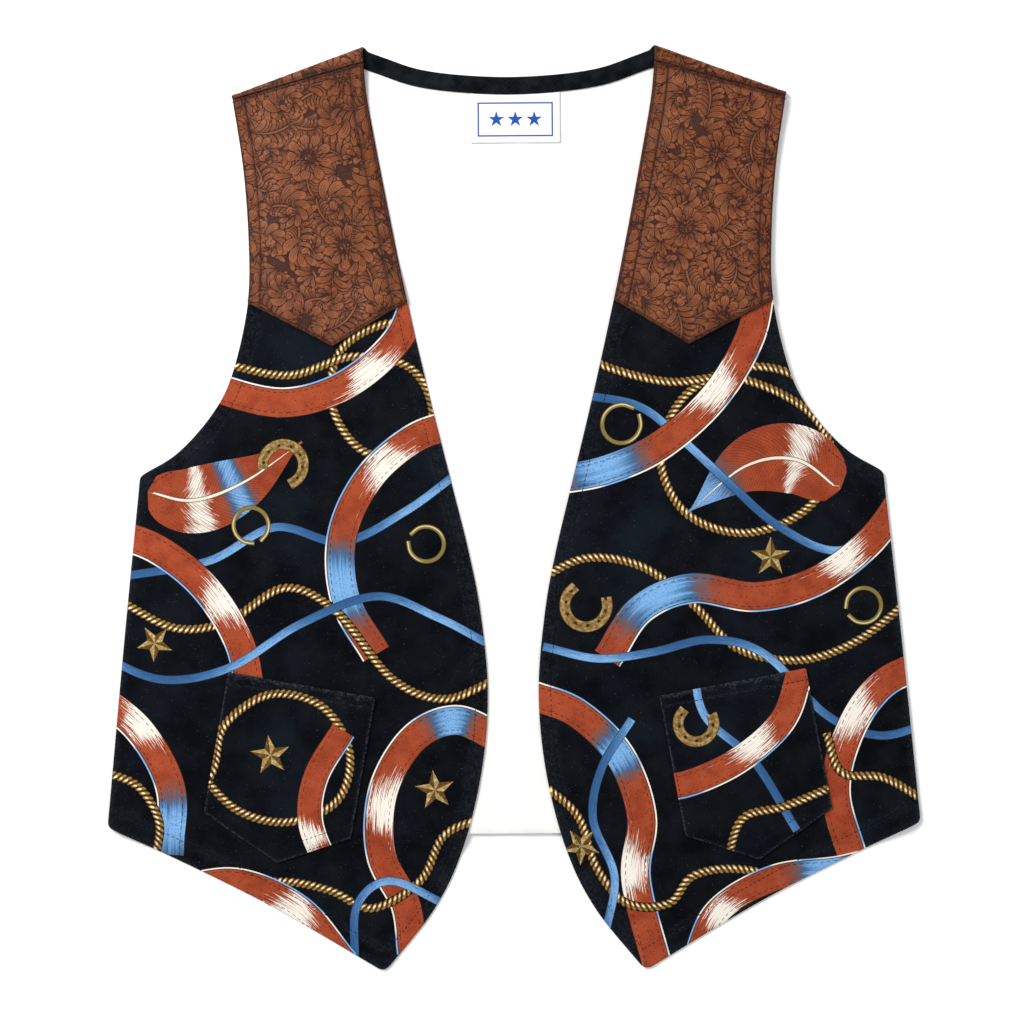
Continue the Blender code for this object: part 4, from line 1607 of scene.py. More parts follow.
PRINTS: dict[int, Motifs] = {
    1: (
        rope((208, 66), (182, 88), (146, 90), (112, 70), (98, 32), (114, -4), (152, -18), (192, -4),
             (212, 28), (196, 62), (150, 84), (104, 82), (64, 92), (44, 104)),
        feather(((216, 10), (188, 30), (154, 26), (116, -4)), ((34, 9),), ((104, 22),), 46),
        ribbon((252, -12), (214, -30), (176, -14), (144, 14), (112, 44), (84, 66), (46, 74)),
        band(((166, 152), (158, 112), (134, 72), (98, 40), (62, 24), (30, 18)),
             ((84, 22),), ((176, 26),)),
        rope((14, -50), (48, -34), (86, -40), (120, -66), (148, -94), (188, -102), (226, -90),
             (264, -62)),
        band(((264, 12), (236, -24), (200, -50), (160, -60), (118, -54), (84, -68), (62, -100)),
             ((66, 18),), ((196, 30),)),
        ribbon((20, -92), (56, -100), (92, -96), (130, -88), (166, -98), (206, -138), (240, -152),
               (272, -146)),
        band(((276, -104), (244, -118), (222, -148), (212, -190), (226, -240)), ((62, 20),)),
        band(((12, -124), (42, -136), (70, -164), (84, -204), (80, -246), (94, -304)),
             ((150, 20),), ((70, 16),)),
        rope((18, -182), (42, -204), (54, -238), (74, -262), (102, -262), (118, -244), (150, -240),
             (196, -252)),
        ribbon((60, -282), (66, -244), (52, -206), (58, -172), (78, -140)),
        band(((118, -304), (134, -268), (172, -246), (218, -240), (268, -226)),
             ((40, 16),), ((118, 20),), 18),
        rope((272, -196), (244, -180), (216, -176), (206, -150)),
        hook(72, 54, 40),
        hook(232, -66, 200, 11),
        horseshoe(48, -66, 70, 13),
        Star((170, -34), 13.5, 0.3),
        Star((44, -224), 13.0, 0.9),
    ),
    -1: (
        rope((46, 116), (80, 122), (112, 104), (118, 68), (98, 38), (66, 36), (52, 62), (66, 92),
             (104, 100), (146, 88), (190, 96)),
        band(((58, 152), (74, 112), (108, 82), (148, 70), (188, 78), (216, 92)), ((72, 20),)),
        feather(((240, 12), (210, 6), (176, 18), (138, 44)), ((34, 9),), ((60, 8),), 44),
        ribbon((34, 24), (70, -2), (112, -22), (156, -12), (200, -34), (258, -44)),
        band(((34, 56), (64, 46), (94, 20), (112, -18), (110, -60), (90, -96)),
             ((58, 20),), ((148, 26),)),
        rope((256, -62), (222, -78), (188, -74), (150, -52), (116, -68), (80, -112), (46, -126),
             (12, -114)),
        band(((268, -14), (234, -26), (202, -52), (180, -88), (172, -128)), ((92, 18),)),
        ribbon((16, -90), (50, -72), (90, -58), (140, -76), (186, -104), (230, -112), (270, -98)),
        band(((276, -122), (246, -146), (226, -184), (228, -228)), ((36, 16),), ((108, 22),)),
        band(((10, -152), (38, -140), (66, -152), (86, -186), (88, -228), (72, -262), (68, -294)),
             ((110, 22),), ((34, 14),)),
        rope((274, -172), (248, -182), (234, -206), (238, -232)),
        rope((18, -204), (46, -216), (62, -246), (94, -264), (122, -252), (154, -246), (190, -252)),
        ribbon((46, -262), (82, -246), (104, -262), (106, -300)),
        band(((112, -300), (142, -264), (182, -246), (222, -250)), ((48, 18),), (), 18),
        hook(172, -10, 250, 11),
        hook(56, -24, 20, 11),
        horseshoe(150, 30, 300, 12.5),
        Star((52, -186), 13.5, 0.2),
        Star((236, -88), 12.5, 1.0),
    ),
}

POCKET_PRINTS: dict[int, Motifs] = {
    1: (
        ribbon((118, -100), (126, -138), (158, -168), (186, -214)),
        band(((190, -104), (178, -140), (150, -166), (116, -182), (88, -186)), ((64, 18),), (), 18),
        rope((208, -186), (178, -198), (150, -206), (140, -236)),
        horseshoe(120, -144, 80, 11),
    ),
    -1: (
        rope((216, -200), (198, -172), (190, -142), (160, -122), (126, -130), (108, -160),
             (116, -192), (148, -206), (182, -198), (208, -172)),
        band(((122, -240), (134, -206), (130, -176), (112, -146)), ((26, 12),), (), 17),
        Star((160, -162), 13.5, 0.2),
    ),
}


@dataclass(frozen=True)
class Seam:
    """A row of stitches beside an edge, with the turned allowance under it."""

    path: Array
    edge: Array
    inset: float
    rise: float = 0.00030
    groove: float = 0.00028
    pucker: float = 0.00012
    pucker_length: float = 0.0075
    pucker_width: float = 0.0042
    groove_width: float = 0.0008
    guide_width: float = 0.0011
    turned_run: float = 0.0016

    def relief(self, points: Array) -> Array:
        """The cloth's height from the turned allowance, the sunk stitches and puckers.

        Args:
            points: Places on the page.

        Returns:
            The height at each.
        """
        past = distance_to(self.edge, points) - self.inset
        turned = 1.0 - smoothstep(past / self.turned_run)
        along, aside = nearest(self.path, points)
        sway = 1.6 * np.sin(along / 0.023) + 1.1 * np.sin(along / 0.0091 + 1.0)
        pull = np.sin(along * math.tau / self.pucker_length + sway)
        sunk = self.groove * hump(aside, self.groove_width)
        pulled = self.pucker * pull * hump(aside, self.pucker_width)
        return self.rise * turned - sunk + pulled

    def lines(self) -> list[Array]:
        """Lines for the mesh to follow, so that the groove has its shape."""
        width = self.guide_width
        return [aside_of(self.path, aside) for aside in (-width, 0.0, width)]


def clipped(path: Array, keep: Array) -> Array:
    """The longest unbroken part of a path whose points are all kept.

    Args:
        path: The path's points.
        keep: True for each point that is kept.

    Returns:
        That part's points.
    """
    padded = np.concatenate([[False], keep, [False]]).astype(int)
    starts, ends = (np.flatnonzero(np.diff(padded) == turn) for turn in (1, -1))
    longest = int((ends - starts).argmax())
    return path[starts[longest] : ends[longest]]


def straight(*corners: Sequence[float], step: float = FINE_STEP) -> Array:
    """Straight runs from corner to corner, as points."""
    runs = [curve_through([a, b], step)[:-1] for a, b in zip(corners, corners[1:])]
    return np.vstack([*runs, [corners[-1]]])


def flat_area(outline: Array) -> float:
    """The area inside a closed outline."""
    return abs(float(np.cross(outline, np.roll(outline, -1, axis=0)).sum())) / 2


@dataclass
class Topstitching:
    """Rows of stitches of one thread, laid by Geometry Nodes."""

    name: str
    slot: str
    thread: str
    pitch: float = 0.0032
    length: float = 0.0026
    diameter: float = 0.00042
    paths: list[Array] = field(default_factory=list)
    ups: list[Array] = field(default_factory=list)

    def add(self, path: Array, surfaces: Callable[[Array], Faces], side: int,
            face_down: bool) -> None:
        """Lays a row on the shown face of a piece.

        Args:
            path: The row's path on the page.
            surfaces: The piece's two faces.
            side: -1 for a piece of the right half.
            face_down: True where the shown face is the underside.
        """
        here, right, ahead = (
            surfaces(path + offset)[1] for offset in ((0.0, 0.0), (PROBE, 0.0), (0.0, PROBE))
        )
        up = np.cross(right - here, ahead - here) * (-1.0 if face_down else 1.0)
        up /= np.linalg.norm(up, axis=1)[:, None]
        self.paths.append(here * (side, 1.0, 1.0))
        self.ups.append(up * (side, 1.0, 1.0))

    def guide(self) -> bpy.types.Object:
        """The rows as loose edges, each point with its cloth's direction.

        Returns:
            The rows as one object.
        """
        edges, count = [], 0
        for path in self.paths:
            edges += [(count + i, count + i + 1) for i in range(len(path) - 1)]
            count += len(path)
        mesh = bpy.data.meshes.new(self.name + "_rows")
        mesh.from_pydata(np.vstack(self.paths).tolist(), edges, [])
        layer = mesh.attributes.new("up", "FLOAT_VECTOR", "POINT")
        layer.data.foreach_set("vector", np.vstack(self.ups).astype(np.float32).ravel())
        return linked(self.name + "_rows", mesh)

    def tree(self) -> bpy.types.GeometryNodeTree:
        """The tree that lays one bent thread at each step along the rows.

        Returns:
            The tree.
        """
        tree = bpy.data.node_groups.new(self.name, "GeometryNodeTree")
        inputs = {"Rows": "Geometry", "Pitch": "Float", "Length": "Float", "Diameter": "Float",
                  "Thread": "Material"}
        for name, kind in inputs.items():
            tree.interface.new_socket(name, in_out="INPUT", socket_type="NodeSocket" + kind)
        tree.interface.new_socket("Stitches", in_out="OUTPUT", socket_type="NodeSocketGeometry")
        nodes = NodeWriter(tree)
        given = [Value(nodes, socket) for socket in nodes.node("NodeGroupInput").outputs]
        rows, pitch, length, diameter, thread = given[:5]
        curve = nodes.made("GeometryNodeMeshToCurve", {"Mesh": rows})
        points = nodes.made("GeometryNodeResampleCurve", {"Curve": curve, "Length": pitch},
                            mode="LENGTH")
        bends = {"Start": (-0.5, -0.6), "Middle": (0.0, 1.1), "End": (0.5, -0.6)}
        ends = {end: nodes.vector(length * reach, 0.0, diameter * rise)
                for end, (reach, rise) in bends.items()}
        bend = nodes.made("GeometryNodeCurveQuadraticBezier", {"Resolution": 4, **ends})
        ring = nodes.made("GeometryNodeCurvePrimitiveCircle",
                          {"Resolution": 6, "Radius": diameter * 0.5})
        stitch = nodes.made("GeometryNodeCurveToMesh",
                            {"Curve": bend, "Profile Curve": ring, "Fill Caps": True})
        up = nodes.made("GeometryNodeInputNamedAttribute", {"Name": "up"},
                        data_type="FLOAT_VECTOR")
        turn = nodes.made("FunctionNodeAxesToRotation",
                          {0: up, 1: nodes.made("GeometryNodeInputTangent")},
                          primary_axis="Z", secondary_axis="X")
        uneven = nodes.made("FunctionNodeRandomValue", {2: 0.88, 3: 1.06, "Seed": 7}, 1,
                            data_type="FLOAT")
        laid = nodes.made("GeometryNodeInstanceOnPoints",
                          {"Points": points, "Instance": stitch, "Rotation": turn, "Scale": uneven})
        real = nodes.made("GeometryNodeRealizeInstances", {0: laid})
        smooth = nodes.made("GeometryNodeSetShadeSmooth", {0: real})
        dyed = nodes.made("GeometryNodeSetMaterial", {0: smooth, "Material": thread})
        nodes.node("NodeGroupOutput", {0: dyed})
        return tree

    def build(self, wardrobe: Wardrobe) -> bpy.types.Object:
        """Lays the stitches and turns them into one plain mesh.

        Args:
            wardrobe: The finishes.

        Returns:
            The stitches as one piece.
        """
        guide, tree, dye = self.guide(), self.tree(), wardrobe.cloths[self.thread]
        modifier = guide.modifiers.new("stitches", "NODES")
        modifier.node_group = tree
        sizes = {"Pitch": self.pitch, "Length": self.length, "Diameter": self.diameter,
                 "Thread": dye}
        for item in tree.interface.items_tree:
            if item.name in sizes:
                modifier[item.identifier] = sizes[item.name]
        shown = guide.evaluated_get(bpy.context.evaluated_depsgraph_get())
        mesh = bpy.data.meshes.new_from_object(shown)
        guide.modifiers.remove(modifier)
        bpy.data.objects.remove(guide)
        mesh.name = self.name
        mesh.materials.clear()
        mesh.materials.append(dye)
        piece = linked(self.name, mesh)
        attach(piece, BODY)
        return piece


Sewing = dict[str, Topstitching]


@dataclass
class ClothPiece:
    """One piece of cloth. A name's braces stand for left or right."""

    form: VestForm
    side: int = 1
    name: str = ""
    node: str = ""
    slot: str = ""
    finish: str = ""
    thread: str = "navy"
    rests_on: tuple[str, ...] = ()
    held: str = "laid"
    face_down: bool = False
    cut: Place = (0.0, 0.0)
    spare: float = 1.0
    thickness: float = TWILL_THICK
    step: float = 0.003
    under_step: float = 0.012

    @property
    def outline(self) -> Array:
        """The piece's edge as in its solid, counter-clockwise."""
        raise NotImplementedError

    @cached_property
    def seams(self) -> list[Seam]:
        """The rows of stitches on the piece."""
        return []

    def under(self, points: Array) -> Array:
        """Height of the underside at points of the page."""
        return np.zeros(len(points))

    def relief(self, points: Array) -> Array:
        """How far the shown face lies above an even thickness."""
        return sum((seam.relief(points) for seam in self.seams), np.zeros(len(points)))

    def surfaces(self, points: Array) -> Faces:
        """The under and the upper face at points of the page.

        Args:
            points: Places on the page.

        Returns:
            The points of both.
        """
        under = self.under(points)
        upper = under + self.thickness + self.relief(points)
        return np.column_stack([points, under]), np.column_stack([points, upper])

    def guides(self, outline: Array) -> list[Array]:
        """Lines that the shown face's mesh follows."""
        return [line for seam in self.seams for line in seam.lines()]

    def detail(self, outline: Array) -> list[Array]:
        """Points that the shown face's mesh takes in besides its even ones."""
        return []

    def turns(self) -> list[Array]:
        """Lines that the hidden face's mesh follows."""
        return []

    def paint(self, layout: Layout, outline: Array) -> Paint:
        """What the shell carries besides its shape."""
        return Paint()

    def finishes(self, wardrobe: Wardrobe) -> list[bpy.types.Material]:
        """The piece's finishes, in the order of its inks."""
        return [wardrobe.cloths[self.finish]]

    def stitch(self, sewing: Sewing) -> None:
        """Adds the piece's rows of stitches to those of its thread."""
        for seam in self.seams:
            sewing[self.thread].add(seam.path, self.surfaces, self.side, self.face_down)

    def build(self, wardrobe: Wardrobe, sewing: Sewing) -> bpy.types.Object:
        """Makes the piece, dresses it and hangs it on the body.

        Args:
            wardrobe: The finishes.
            sewing: Where the rows of stitches are kept.

        Returns:
            The piece.
        """
        rim, hand = self.thickness / 2, SIDES[self.side]
        outline = aside_of(self.outline, rim, loop=True)
        layout = lay_out(outline, self.step, self.guides(outline), self.detail(outline))
        piece = Shell(
            self.name.format(hand), layout, self.surfaces, self.paint(layout, outline), self.side,
            self.face_down, rim, self.under_step, self.turns(),
        ).build()
        for finish in self.finishes(wardrobe):
            piece.data.materials.append(finish)
        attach(piece, BODY)
        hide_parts(self.node.format(hand))
        flat_area(self.outline) * self.spare
        self.stitch(sewing)
        return piece


@dataclass
class FrontPiece(ClothPiece):
    """A piece of one front, with the lines that the front's pieces share."""

    front_inset: float = 0.0080
    armhole_inset: float = 0.0080
    hem_inset: float = 0.0130

    def between(self, line: Array, low: float, high: float) -> Array:
        """The points of a line whose height on the page is between two values."""
        return line[(line[:, 1] > low + LEAST_SPACING) & (line[:, 1] < high - LEAST_SPACING)]

    @cached_property
    def shoulder(self) -> Array:
        """The yoke's edge at the shoulder seam, from the armhole to the neck."""
        ends = np.array([self.form.seam_tip, self.form.seam_neck])
        return curve_through(ends - self.form.gap * self.form.outward)

    @cached_property
    def yoke(self) -> Array:
        """The front yoke's outline, counter-clockwise.

        Returns:
            The outline's points.
        """
        form, seam = self.form, self.shoulder
        front = self.between(form.front_line, form.yoke_front[1], seam[-1][1])
        armhole = self.between(form.armhole_line, form.yoke_armhole[1], seam[0][1])
        return without_repeats(np.vstack(
            [seam[-1:], front, [form.yoke_front], form.yoke_line[-2::-1], armhole, seam[:-1]]
        ))


@dataclass
class PrintedCloth(ClothPiece):
    """A printed piece, whose mesh follows its motifs."""

    slot: str = "printed_twill"
    motifs: dict[int, Motifs] = field(default_factory=dict)

    def guides(self, outline: Array) -> list[Array]:
        """The seams' lines and the motifs' outlines."""
        drawn = [line for motif in self.motifs[self.side] for line in motif.lines()]
        return [*super().guides(outline), *drawn]

    def wear(self, points: Array, outline: Array) -> Array:
        """How worn the cloth is, with its painted highlight, from 0 to 1."""
        raise NotImplementedError

    def paint(self, layout: Layout, outline: Array) -> Paint:
        """The motifs and the wear with its painted highlight.

        Args:
            layout: The cloth's triangles.
            outline: The cloth's edge.

        Returns:
            What the shell carries.
        """
        page = printed(layout, self.motifs[self.side])
        page.numbers["wear"] = self.wear(layout.points, outline)
        return page

    def finishes(self, wardrobe: Wardrobe) -> list[bpy.types.Material]:
        """One finish for each ink."""
        return wardrobe.inks


@dataclass
class PrintedFront(PrintedCloth, FrontPiece):
    """One printed front panel, with a turned front edge, armhole and hem."""

    name: str = "printed_front_{}"
    node: str = "front_panel_{}"
    rests_on: tuple[str, ...] = ("back_lining_cloth", "back_panel_cloth")
    cut: Place = (0.268, 0.472)
    spare: float = 1.16
    step: float = 0.0032
    row_end: float = 0.0015
    stitched_to: float = 0.14
    edge_guide: float = 0.0010
    relief_top: float = 0.094
    relief_run: float = 0.02
    motifs: dict[int, Motifs] = field(default_factory=lambda: PRINTS)

    @cached_property
    def outline(self) -> Array:
        """The panel's outline, whose top edge the yoke hides.

        Returns:
            The outline's points.
        """
        form = self.form
        middle = (form.yoke_tip[0], form.yoke_tip[1] + form.yoke_lap)
        outer = form.at_line(form.armhole_line, form.yoke_armhole[1] + form.yoke_lap)
        inner = form.at_line(form.front_line, form.yoke_front[1] + form.yoke_lap)
        front = self.between(form.front_line, -1.0, inner[1])
        armhole = self.between(form.armhole_line, form.armpit[1], outer[1])
        return joined(
            [np.vstack([[inner], front, [form.front_point]]), form.hem_line, form.side_line,
             np.vstack([form.armhole_line[:1], armhole, [outer]]), straight(outer, middle, inner)],
            [form.point_round, form.hem_corner_round, form.armpit_round, 0.0, 0.0],
        )

    @cached_property
    def seams(self) -> list[Seam]:
        """The rows inside the front edge, hem and armhole, which stop at the yoke's edge.

        Returns:
            The rows.
        """
        form = self.form
        front = aside_of(form.front_line, self.front_inset)
        hem = aside_of(form.hem_line, self.hem_inset)
        armhole = aside_of(form.armhole_line, self.armhole_inset)
        front = clipped(front, distance_to(form.hem_line, front) > self.hem_inset - 0.001)
        hem = clipped(hem, (distance_to(form.front_line, hem) > self.front_inset - 0.0005)
                      & (distance_to(form.side_line, hem) > self.row_end))
        armhole = clipped(armhole, distance_to(form.side_line, armhole) > self.row_end)
        front, armhole = (
            clipped(path, ~inside(self.yoke, path) & (path[:, 1] < self.stitched_to))
            for path in (front, armhole)
        )
        return [
            Seam(front, form.front_line, self.front_inset),
            Seam(hem, form.hem_line, self.hem_inset),
            Seam(armhole, form.armhole_line, self.armhole_inset),
        ]

    def under(self, points: Array) -> Array:
        """Height of the panel's underside."""
        return self.form.front_level(points, self.side)

    def relief(self, points: Array) -> Array:
        """The seams' relief, which ends under the yoke."""
        above = (points[:, 1] - self.relief_top) / self.relief_run
        return super().relief(points) * (1.0 - smoothstep(above))

    def guides(self, outline: Array) -> list[Array]:
        """Also a line close inside the edge."""
        return [*super().guides(outline), aside_of(outline, self.edge_guide, loop=True)]

    def wear(self, points: Array, outline: Array) -> Array:
        """The panel is worn along its edge and on the ridges beside its seams, and carries a
        painted highlight there too.

        Args:
            points: Places on the page.
            outline: The cloth's edge.

        Returns:
            The wear and painted highlight at each point.
        """
        # Painted highlight and wear along the edge and on the seam ridges.
        edge = 0.45 * hump(distance_to(closed(outline), points), 0.0012)
        ridges = [0.20 * hump(distance_to(s.path, points) - 0.0013, 0.0006) for s in self.seams]
        return np.maximum.reduce([edge, *ridges])


@dataclass
class PatchPocket(PrintedCloth):
    """A pointed patch pocket on a printed front, with a turned top hem."""

    name: str = "patch_pocket_{}"
    node: str = "pocket_{}"
    rests_on: tuple[str, ...] = ("printed_front_{}",)
    cut: Place = (0.115, 0.145)
    spare: float = 1.25
    step: float = 0.0028
    motifs: dict[int, Motifs] = field(default_factory=lambda: POCKET_PRINTS)
    x: float = 0.0
    y: float = -0.1621
    tilt: float = math.radians(10.3)
    width: float = 0.0985
    edge: float = 0.0940
    depth: float = 0.1190
    point_shift: float = -0.004
    round: float = 0.0015
    hem: float = 0.0075
    hem_turn: float = 0.001
    hem_rise: float = 0.0005
    first_row: float = 0.0016
    second_row: float = 0.0090
    row_step: float = 0.002

    @cached_property
    def upward(self) -> Array:
        """The direction towards the pocket's top edge."""
        return towards_angle(self.tilt + math.pi / 2)

    def placed(self, x: float, y: float) -> Array:
        """The place on the page of a place on the pocket."""
        return np.array([self.x, self.y]) + x * towards_angle(self.tilt) + y * self.upward

    @cached_property
    def corners(self) -> Array:
        """The pocket's five corners, counter-clockwise from the top left."""
        half, high = self.width / 2, self.edge / 2
        return np.array([
            self.placed(-half, high), self.placed(-half, -high),
            self.placed(self.point_shift, high - self.depth),
            self.placed(half, -high), self.placed(half, high),
        ])

    @cached_property
    def outline(self) -> Array:
        """The pocket's edge.

        Returns:
            The outline's points.
        """
        around = closed(self.corners)
        edges = [straight(a, b, step=self.row_step) for a, b in zip(around, around[1:])]
        return joined(edges, [self.round] * len(edges), steps=3)

    @cached_property
    def seams(self) -> list[Seam]:
        """The hem's row, the row by the edge and the inner row along the lower edges.

        Returns:
            The rows.
        """
        half, high = self.width / 2 - 0.0008, self.edge / 2 - self.hem
        hem = straight(self.placed(-half, high), self.placed(half, high), step=self.row_step)
        first, second = (
            aside_of(self.corners, inset, loop=True) for inset in (self.first_row, self.second_row)
        )
        first[[0, 4]] -= self.upward * 0.0010
        rows = [
            Seam(straight(*turns, step=self.row_step), self.corners, inset, rise, 0.00022, 0.00008,
                 0.0058)
            for turns, inset, rise in (
                (first, self.first_row, 0.0), (second[1:4], self.second_row, 0.0002))
        ]
        return [Seam(hem, self.corners[[4, 0]], self.hem, 0.0, 0.0003, 0.0001), *rows]

    def from_hem(self, points: Array) -> Array:
        """How far below the hem's row each point is."""
        return self.edge / 2 - (points - np.array([self.x, self.y])) @ self.upward - self.hem

    def under(self, points: Array) -> Array:
        """Height of the pocket's underside."""
        return self.form.front_level(points, self.side) + self.form.twill + self.form.gap

    def relief(self, points: Array) -> Array:
        """The seams' relief and the thicker hem."""
        hem = self.hem_rise * (1.0 - smoothstep(self.from_hem(points) / self.hem_turn))
        return super().relief(points) + hem

    def wear(self, points: Array, outline: Array) -> Array:
        """The pocket is worn along its edge and along its hem, and carries a painted highlight
        there too.
        """
        edge = 0.8 * hump(distance_to(closed(outline), points), 0.0007)
        return np.maximum(edge, 0.5 * hump(self.from_hem(points), 0.0008))


class Carving:
    """A floral pattern carved in leather, drawn on a fine grid of squares."""

    def __init__(self, outline: Array, seed: int, square: float = 0.0002) -> None:
        """Covers the area round an outline with leaves, scrolls and flowers.

        Args:
            outline: The outline.
            seed: Chooses the pattern.
            square: How wide the grid's squares are.
        """
        self.low = outline.min(axis=0) - CARVED_MARGIN
        self.square = square
        high = outline.max(axis=0) + CARVED_MARGIN
        shape = np.ceil((high - self.low) / square).astype(int)
        self.raised = np.zeros(shape[::-1])
        self.line = np.zeros(shape[::-1])
        self.draw = np.random.default_rng(seed)
        self.size = shape * square
        self.fill()

    def lobe(
        self, base: Array, heading: float, length: float, width: float, bend: float,
        veins: tuple[float, ...] = (0.0,),
    ) -> None:
        """Carves one curved finger of a leaf over what is there.

        Args:
            base: The finger's foot.
            heading: The direction in which it starts.
            length: Its length.
            width: Half its greatest width.
            bend: How far it turns along its length, in radians.
            veins: Where lines run along it, from -1 to 1 across it.
        """
        reach = length + width + 0.001
        first = np.maximum(((base - self.low - reach) / self.square).astype(int), 0)
        last = np.maximum(np.ceil((base - self.low + reach) / self.square).astype(int), 0)
        cells = slice(first[1], last[1]), slice(first[0], last[0])
        raised, line = self.raised[cells], self.line[cells]
        if raised.size == 0:
            return
        y, x = (np.indices(raised.shape) + first[::-1, None, None]) * self.square
        x, y = x + self.low[0] - base[0], y + self.low[1] - base[1]
        ahead = x * math.cos(heading) + y * math.sin(heading)
        aside = y * math.cos(heading) - x * math.sin(heading)
        radius = length / max(abs(bend), 0.05)
        inward = radius - aside * (1.0 if bend >= 0 else -1.0)
        share = np.arctan2(ahead, inward) * radius / length
        offset = radius - np.hypot(ahead, inward)
        within = np.clip(share, 0.0, 1.0)
        half = width * 1.15 * within**0.55 * np.sqrt(1.0 - within**6)
        deep = np.where((share > 0) & (share < 1), half - np.abs(offset), -1.0)
        body = deep > 0.00008
        cut = np.zeros_like(deep)
        for vein in veins:
            stroke = hump(offset - vein * half, 0.00026) * (within > 0.06)
            tip = 0.84 - 0.22 * abs(vein)
            cut = np.maximum(cut, stroke * smoothstep((tip - within) / 0.06))
        height = smoothstep(deep / 0.0005) * (1.0 - 0.75 * cut)
        shown = deep > -0.00032
        raised[shown] = np.where(body, height, 0.0)[shown]
        line[shown] = np.maximum(hump(deep, 0.00034), 0.85 * cut * body)[shown]

    def flower(self, centre: Array, radius: float) -> None:
        """Carves a flower: two rings of petals round a middle of seeds.

        Args:
            centre: Its middle.
            radius: Its size.
        """
        turn = self.draw.uniform(0, math.tau)
        for count, start, length, width, veins in (
            (9, 0.42, 0.58, 0.245, (-0.5, 0.0, 0.5)),
            (13, 0.27, 0.33, 0.085, (0.0,)),
        ):
            for petal in range(count):
                angle = turn + petal * math.tau / count + self.draw.uniform(-0.09, 0.09)
                long = radius * length * self.draw.uniform(0.86, 1.12)
                self.lobe(centre + radius * start * towards_angle(angle), angle, long,
                          radius * width, self.draw.uniform(-0.4, 0.4), veins)
            turn += 0.3
        for count, start in ((15, 0.29), (11, 0.20), (6, 0.11), (2, 0.03)):
            for seed in range(count):
                angle = turn + seed * math.tau / count
                foot = centre + radius * start * towards_angle(angle)
                self.lobe(foot, angle, 0.0012, 0.00045, 0.05, ())

    def scroll(self, centre: Array, radius: float, start: float, sense: float) -> None:
        """Carves a curling leaf: fingers along the outside of a stem that winds inward.

        Args:
            centre: The middle of the curl.
            radius: Its size.
            start: The direction in which the stem starts.
            sense: 1 to wind one way, -1 the other.
        """
        for step in np.linspace(0.0, 1.0, 8):
            angle = start + sense * step * 4.2
            reach = radius * (1.0 - 0.62 * step)
            length = 0.95 * reach + 0.0016
            self.lobe(centre + 0.5 * reach * towards_angle(angle), angle + sense * 0.35, length,
                      0.27 * length, sense * 1.7, (-0.42, 0.08, 0.52))
        self.lobe(centre + (0.0, -0.2 * radius), start, 0.42 * radius, 0.19 * radius, sense * 2.2)

    def spray(self, foot: Array, heading: float, sense: float, scale: float) -> None:
        """Carves a fan of long bent fingers.

        Args:
            foot: Where they start.
            heading: The direction of the fan.
            sense: 1 to bend one way, -1 the other.
            scale: Their length.
        """
        for spread in (-1.05, 1.0, -0.62, 0.58, -0.22, 0.16):
            length = scale * self.draw.uniform(0.9, 1.1) * (1.15 - 0.3 * abs(spread))
            self.lobe(foot, heading + spread, length, 0.19 * length,
                      sense * 0.5 + spread * 0.9, (-0.35, 0.25))

    def vine(self, foot: Array, heading: float, bend: float, length: float) -> None:
        """Carves a long bent stem with curling fingers down both its sides.

        Args:
            foot: Where it starts.
            heading: The direction in which it starts.
            bend: How far it turns, in radians.
            length: Its length.
        """
        for step in np.linspace(0.9, 0.05, 8):
            reach = 2.0 * length / bend * math.sin(bend * step / 2)
            place = foot + reach * towards_angle(heading + bend * step / 2)
            for side in (1.0, -1.0):
                long = length * (0.46 - 0.22 * step) * self.draw.uniform(0.9, 1.1)
                self.lobe(place, heading + bend * step + side * 0.30, long, 0.17 * long,
                          side * 1.5, (-0.30, 0.32))
        self.lobe(foot, heading, length, 0.0010, bend, ())

    def spots(self, pace: float, start: float, jitter: float) -> list[Array]:
        """Places in staggered rows, each moved a little, in no order.

        Args:
            pace: The distance from one to the next.
            start: How far the first is from the corner.
            jitter: How far each moves, as a share of the pace.

        Returns:
            The places.
        """
        found = []
        for row, y in enumerate(np.arange(start, self.size[1] + pace / 2, pace)):
            for x in np.arange(start + pace / 2 * (row % 2), self.size[0] + pace / 2, pace):
                found.append(self.low + (x, y) + self.draw.uniform(-jitter, jitter, 2) * pace)
        return [found[number] for number in self.draw.permutation(len(found))]

    def fill(self) -> None:
        """Covers the whole area: sprays and stems first, then scrolls, then flowers."""
        draw, turn, senses = self.draw, math.tau, (-1.0, 1.0)
        for foot in self.spots(0.0105, 0.0, 0.30):
            self.spray(foot, draw.uniform(0, turn), draw.choice(senses), 0.0115)
        for foot in self.spots(0.0240, 0.010, 0.30):
            bend = draw.choice(senses) * draw.uniform(0.9, 1.8)
            self.vine(foot, draw.uniform(0, turn), bend, 0.030)
        for spot in self.spots(0.0310, 0.006, 0.2):
            self.scroll(spot, draw.uniform(0.0108, 0.0136), draw.uniform(0, turn),
                        draw.choice(senses))
        for spot in self.spots(0.0560, 0.020, 0.14):
            self.flower(spot, draw.uniform(0.0135, 0.0155))

    def sampled(self, points: Array) -> tuple[Array, Array]:
        """Reads the carving at points of the page.

        Args:
            points: The points.

        Returns:
            The height and the darkness of the lines at each, from 0 to 1.
        """
        place = (points - self.low) / self.square
        corner = np.clip(place.astype(int), 0, np.array(self.raised.shape)[::-1] - 2)
        share = np.clip(place - corner, 0.0, 1.0)
        found = np.zeros((2, len(points)))
        for right in (0, 1):
            for up in (0, 1):
                weight = np.abs(1 - right - share[:, 0]) * np.abs(1 - up - share[:, 1])
                at = corner[:, 1] + up, corner[:, 0] + right
                found += weight * (self.raised[at], self.line[at])
        return found[0], found[1]


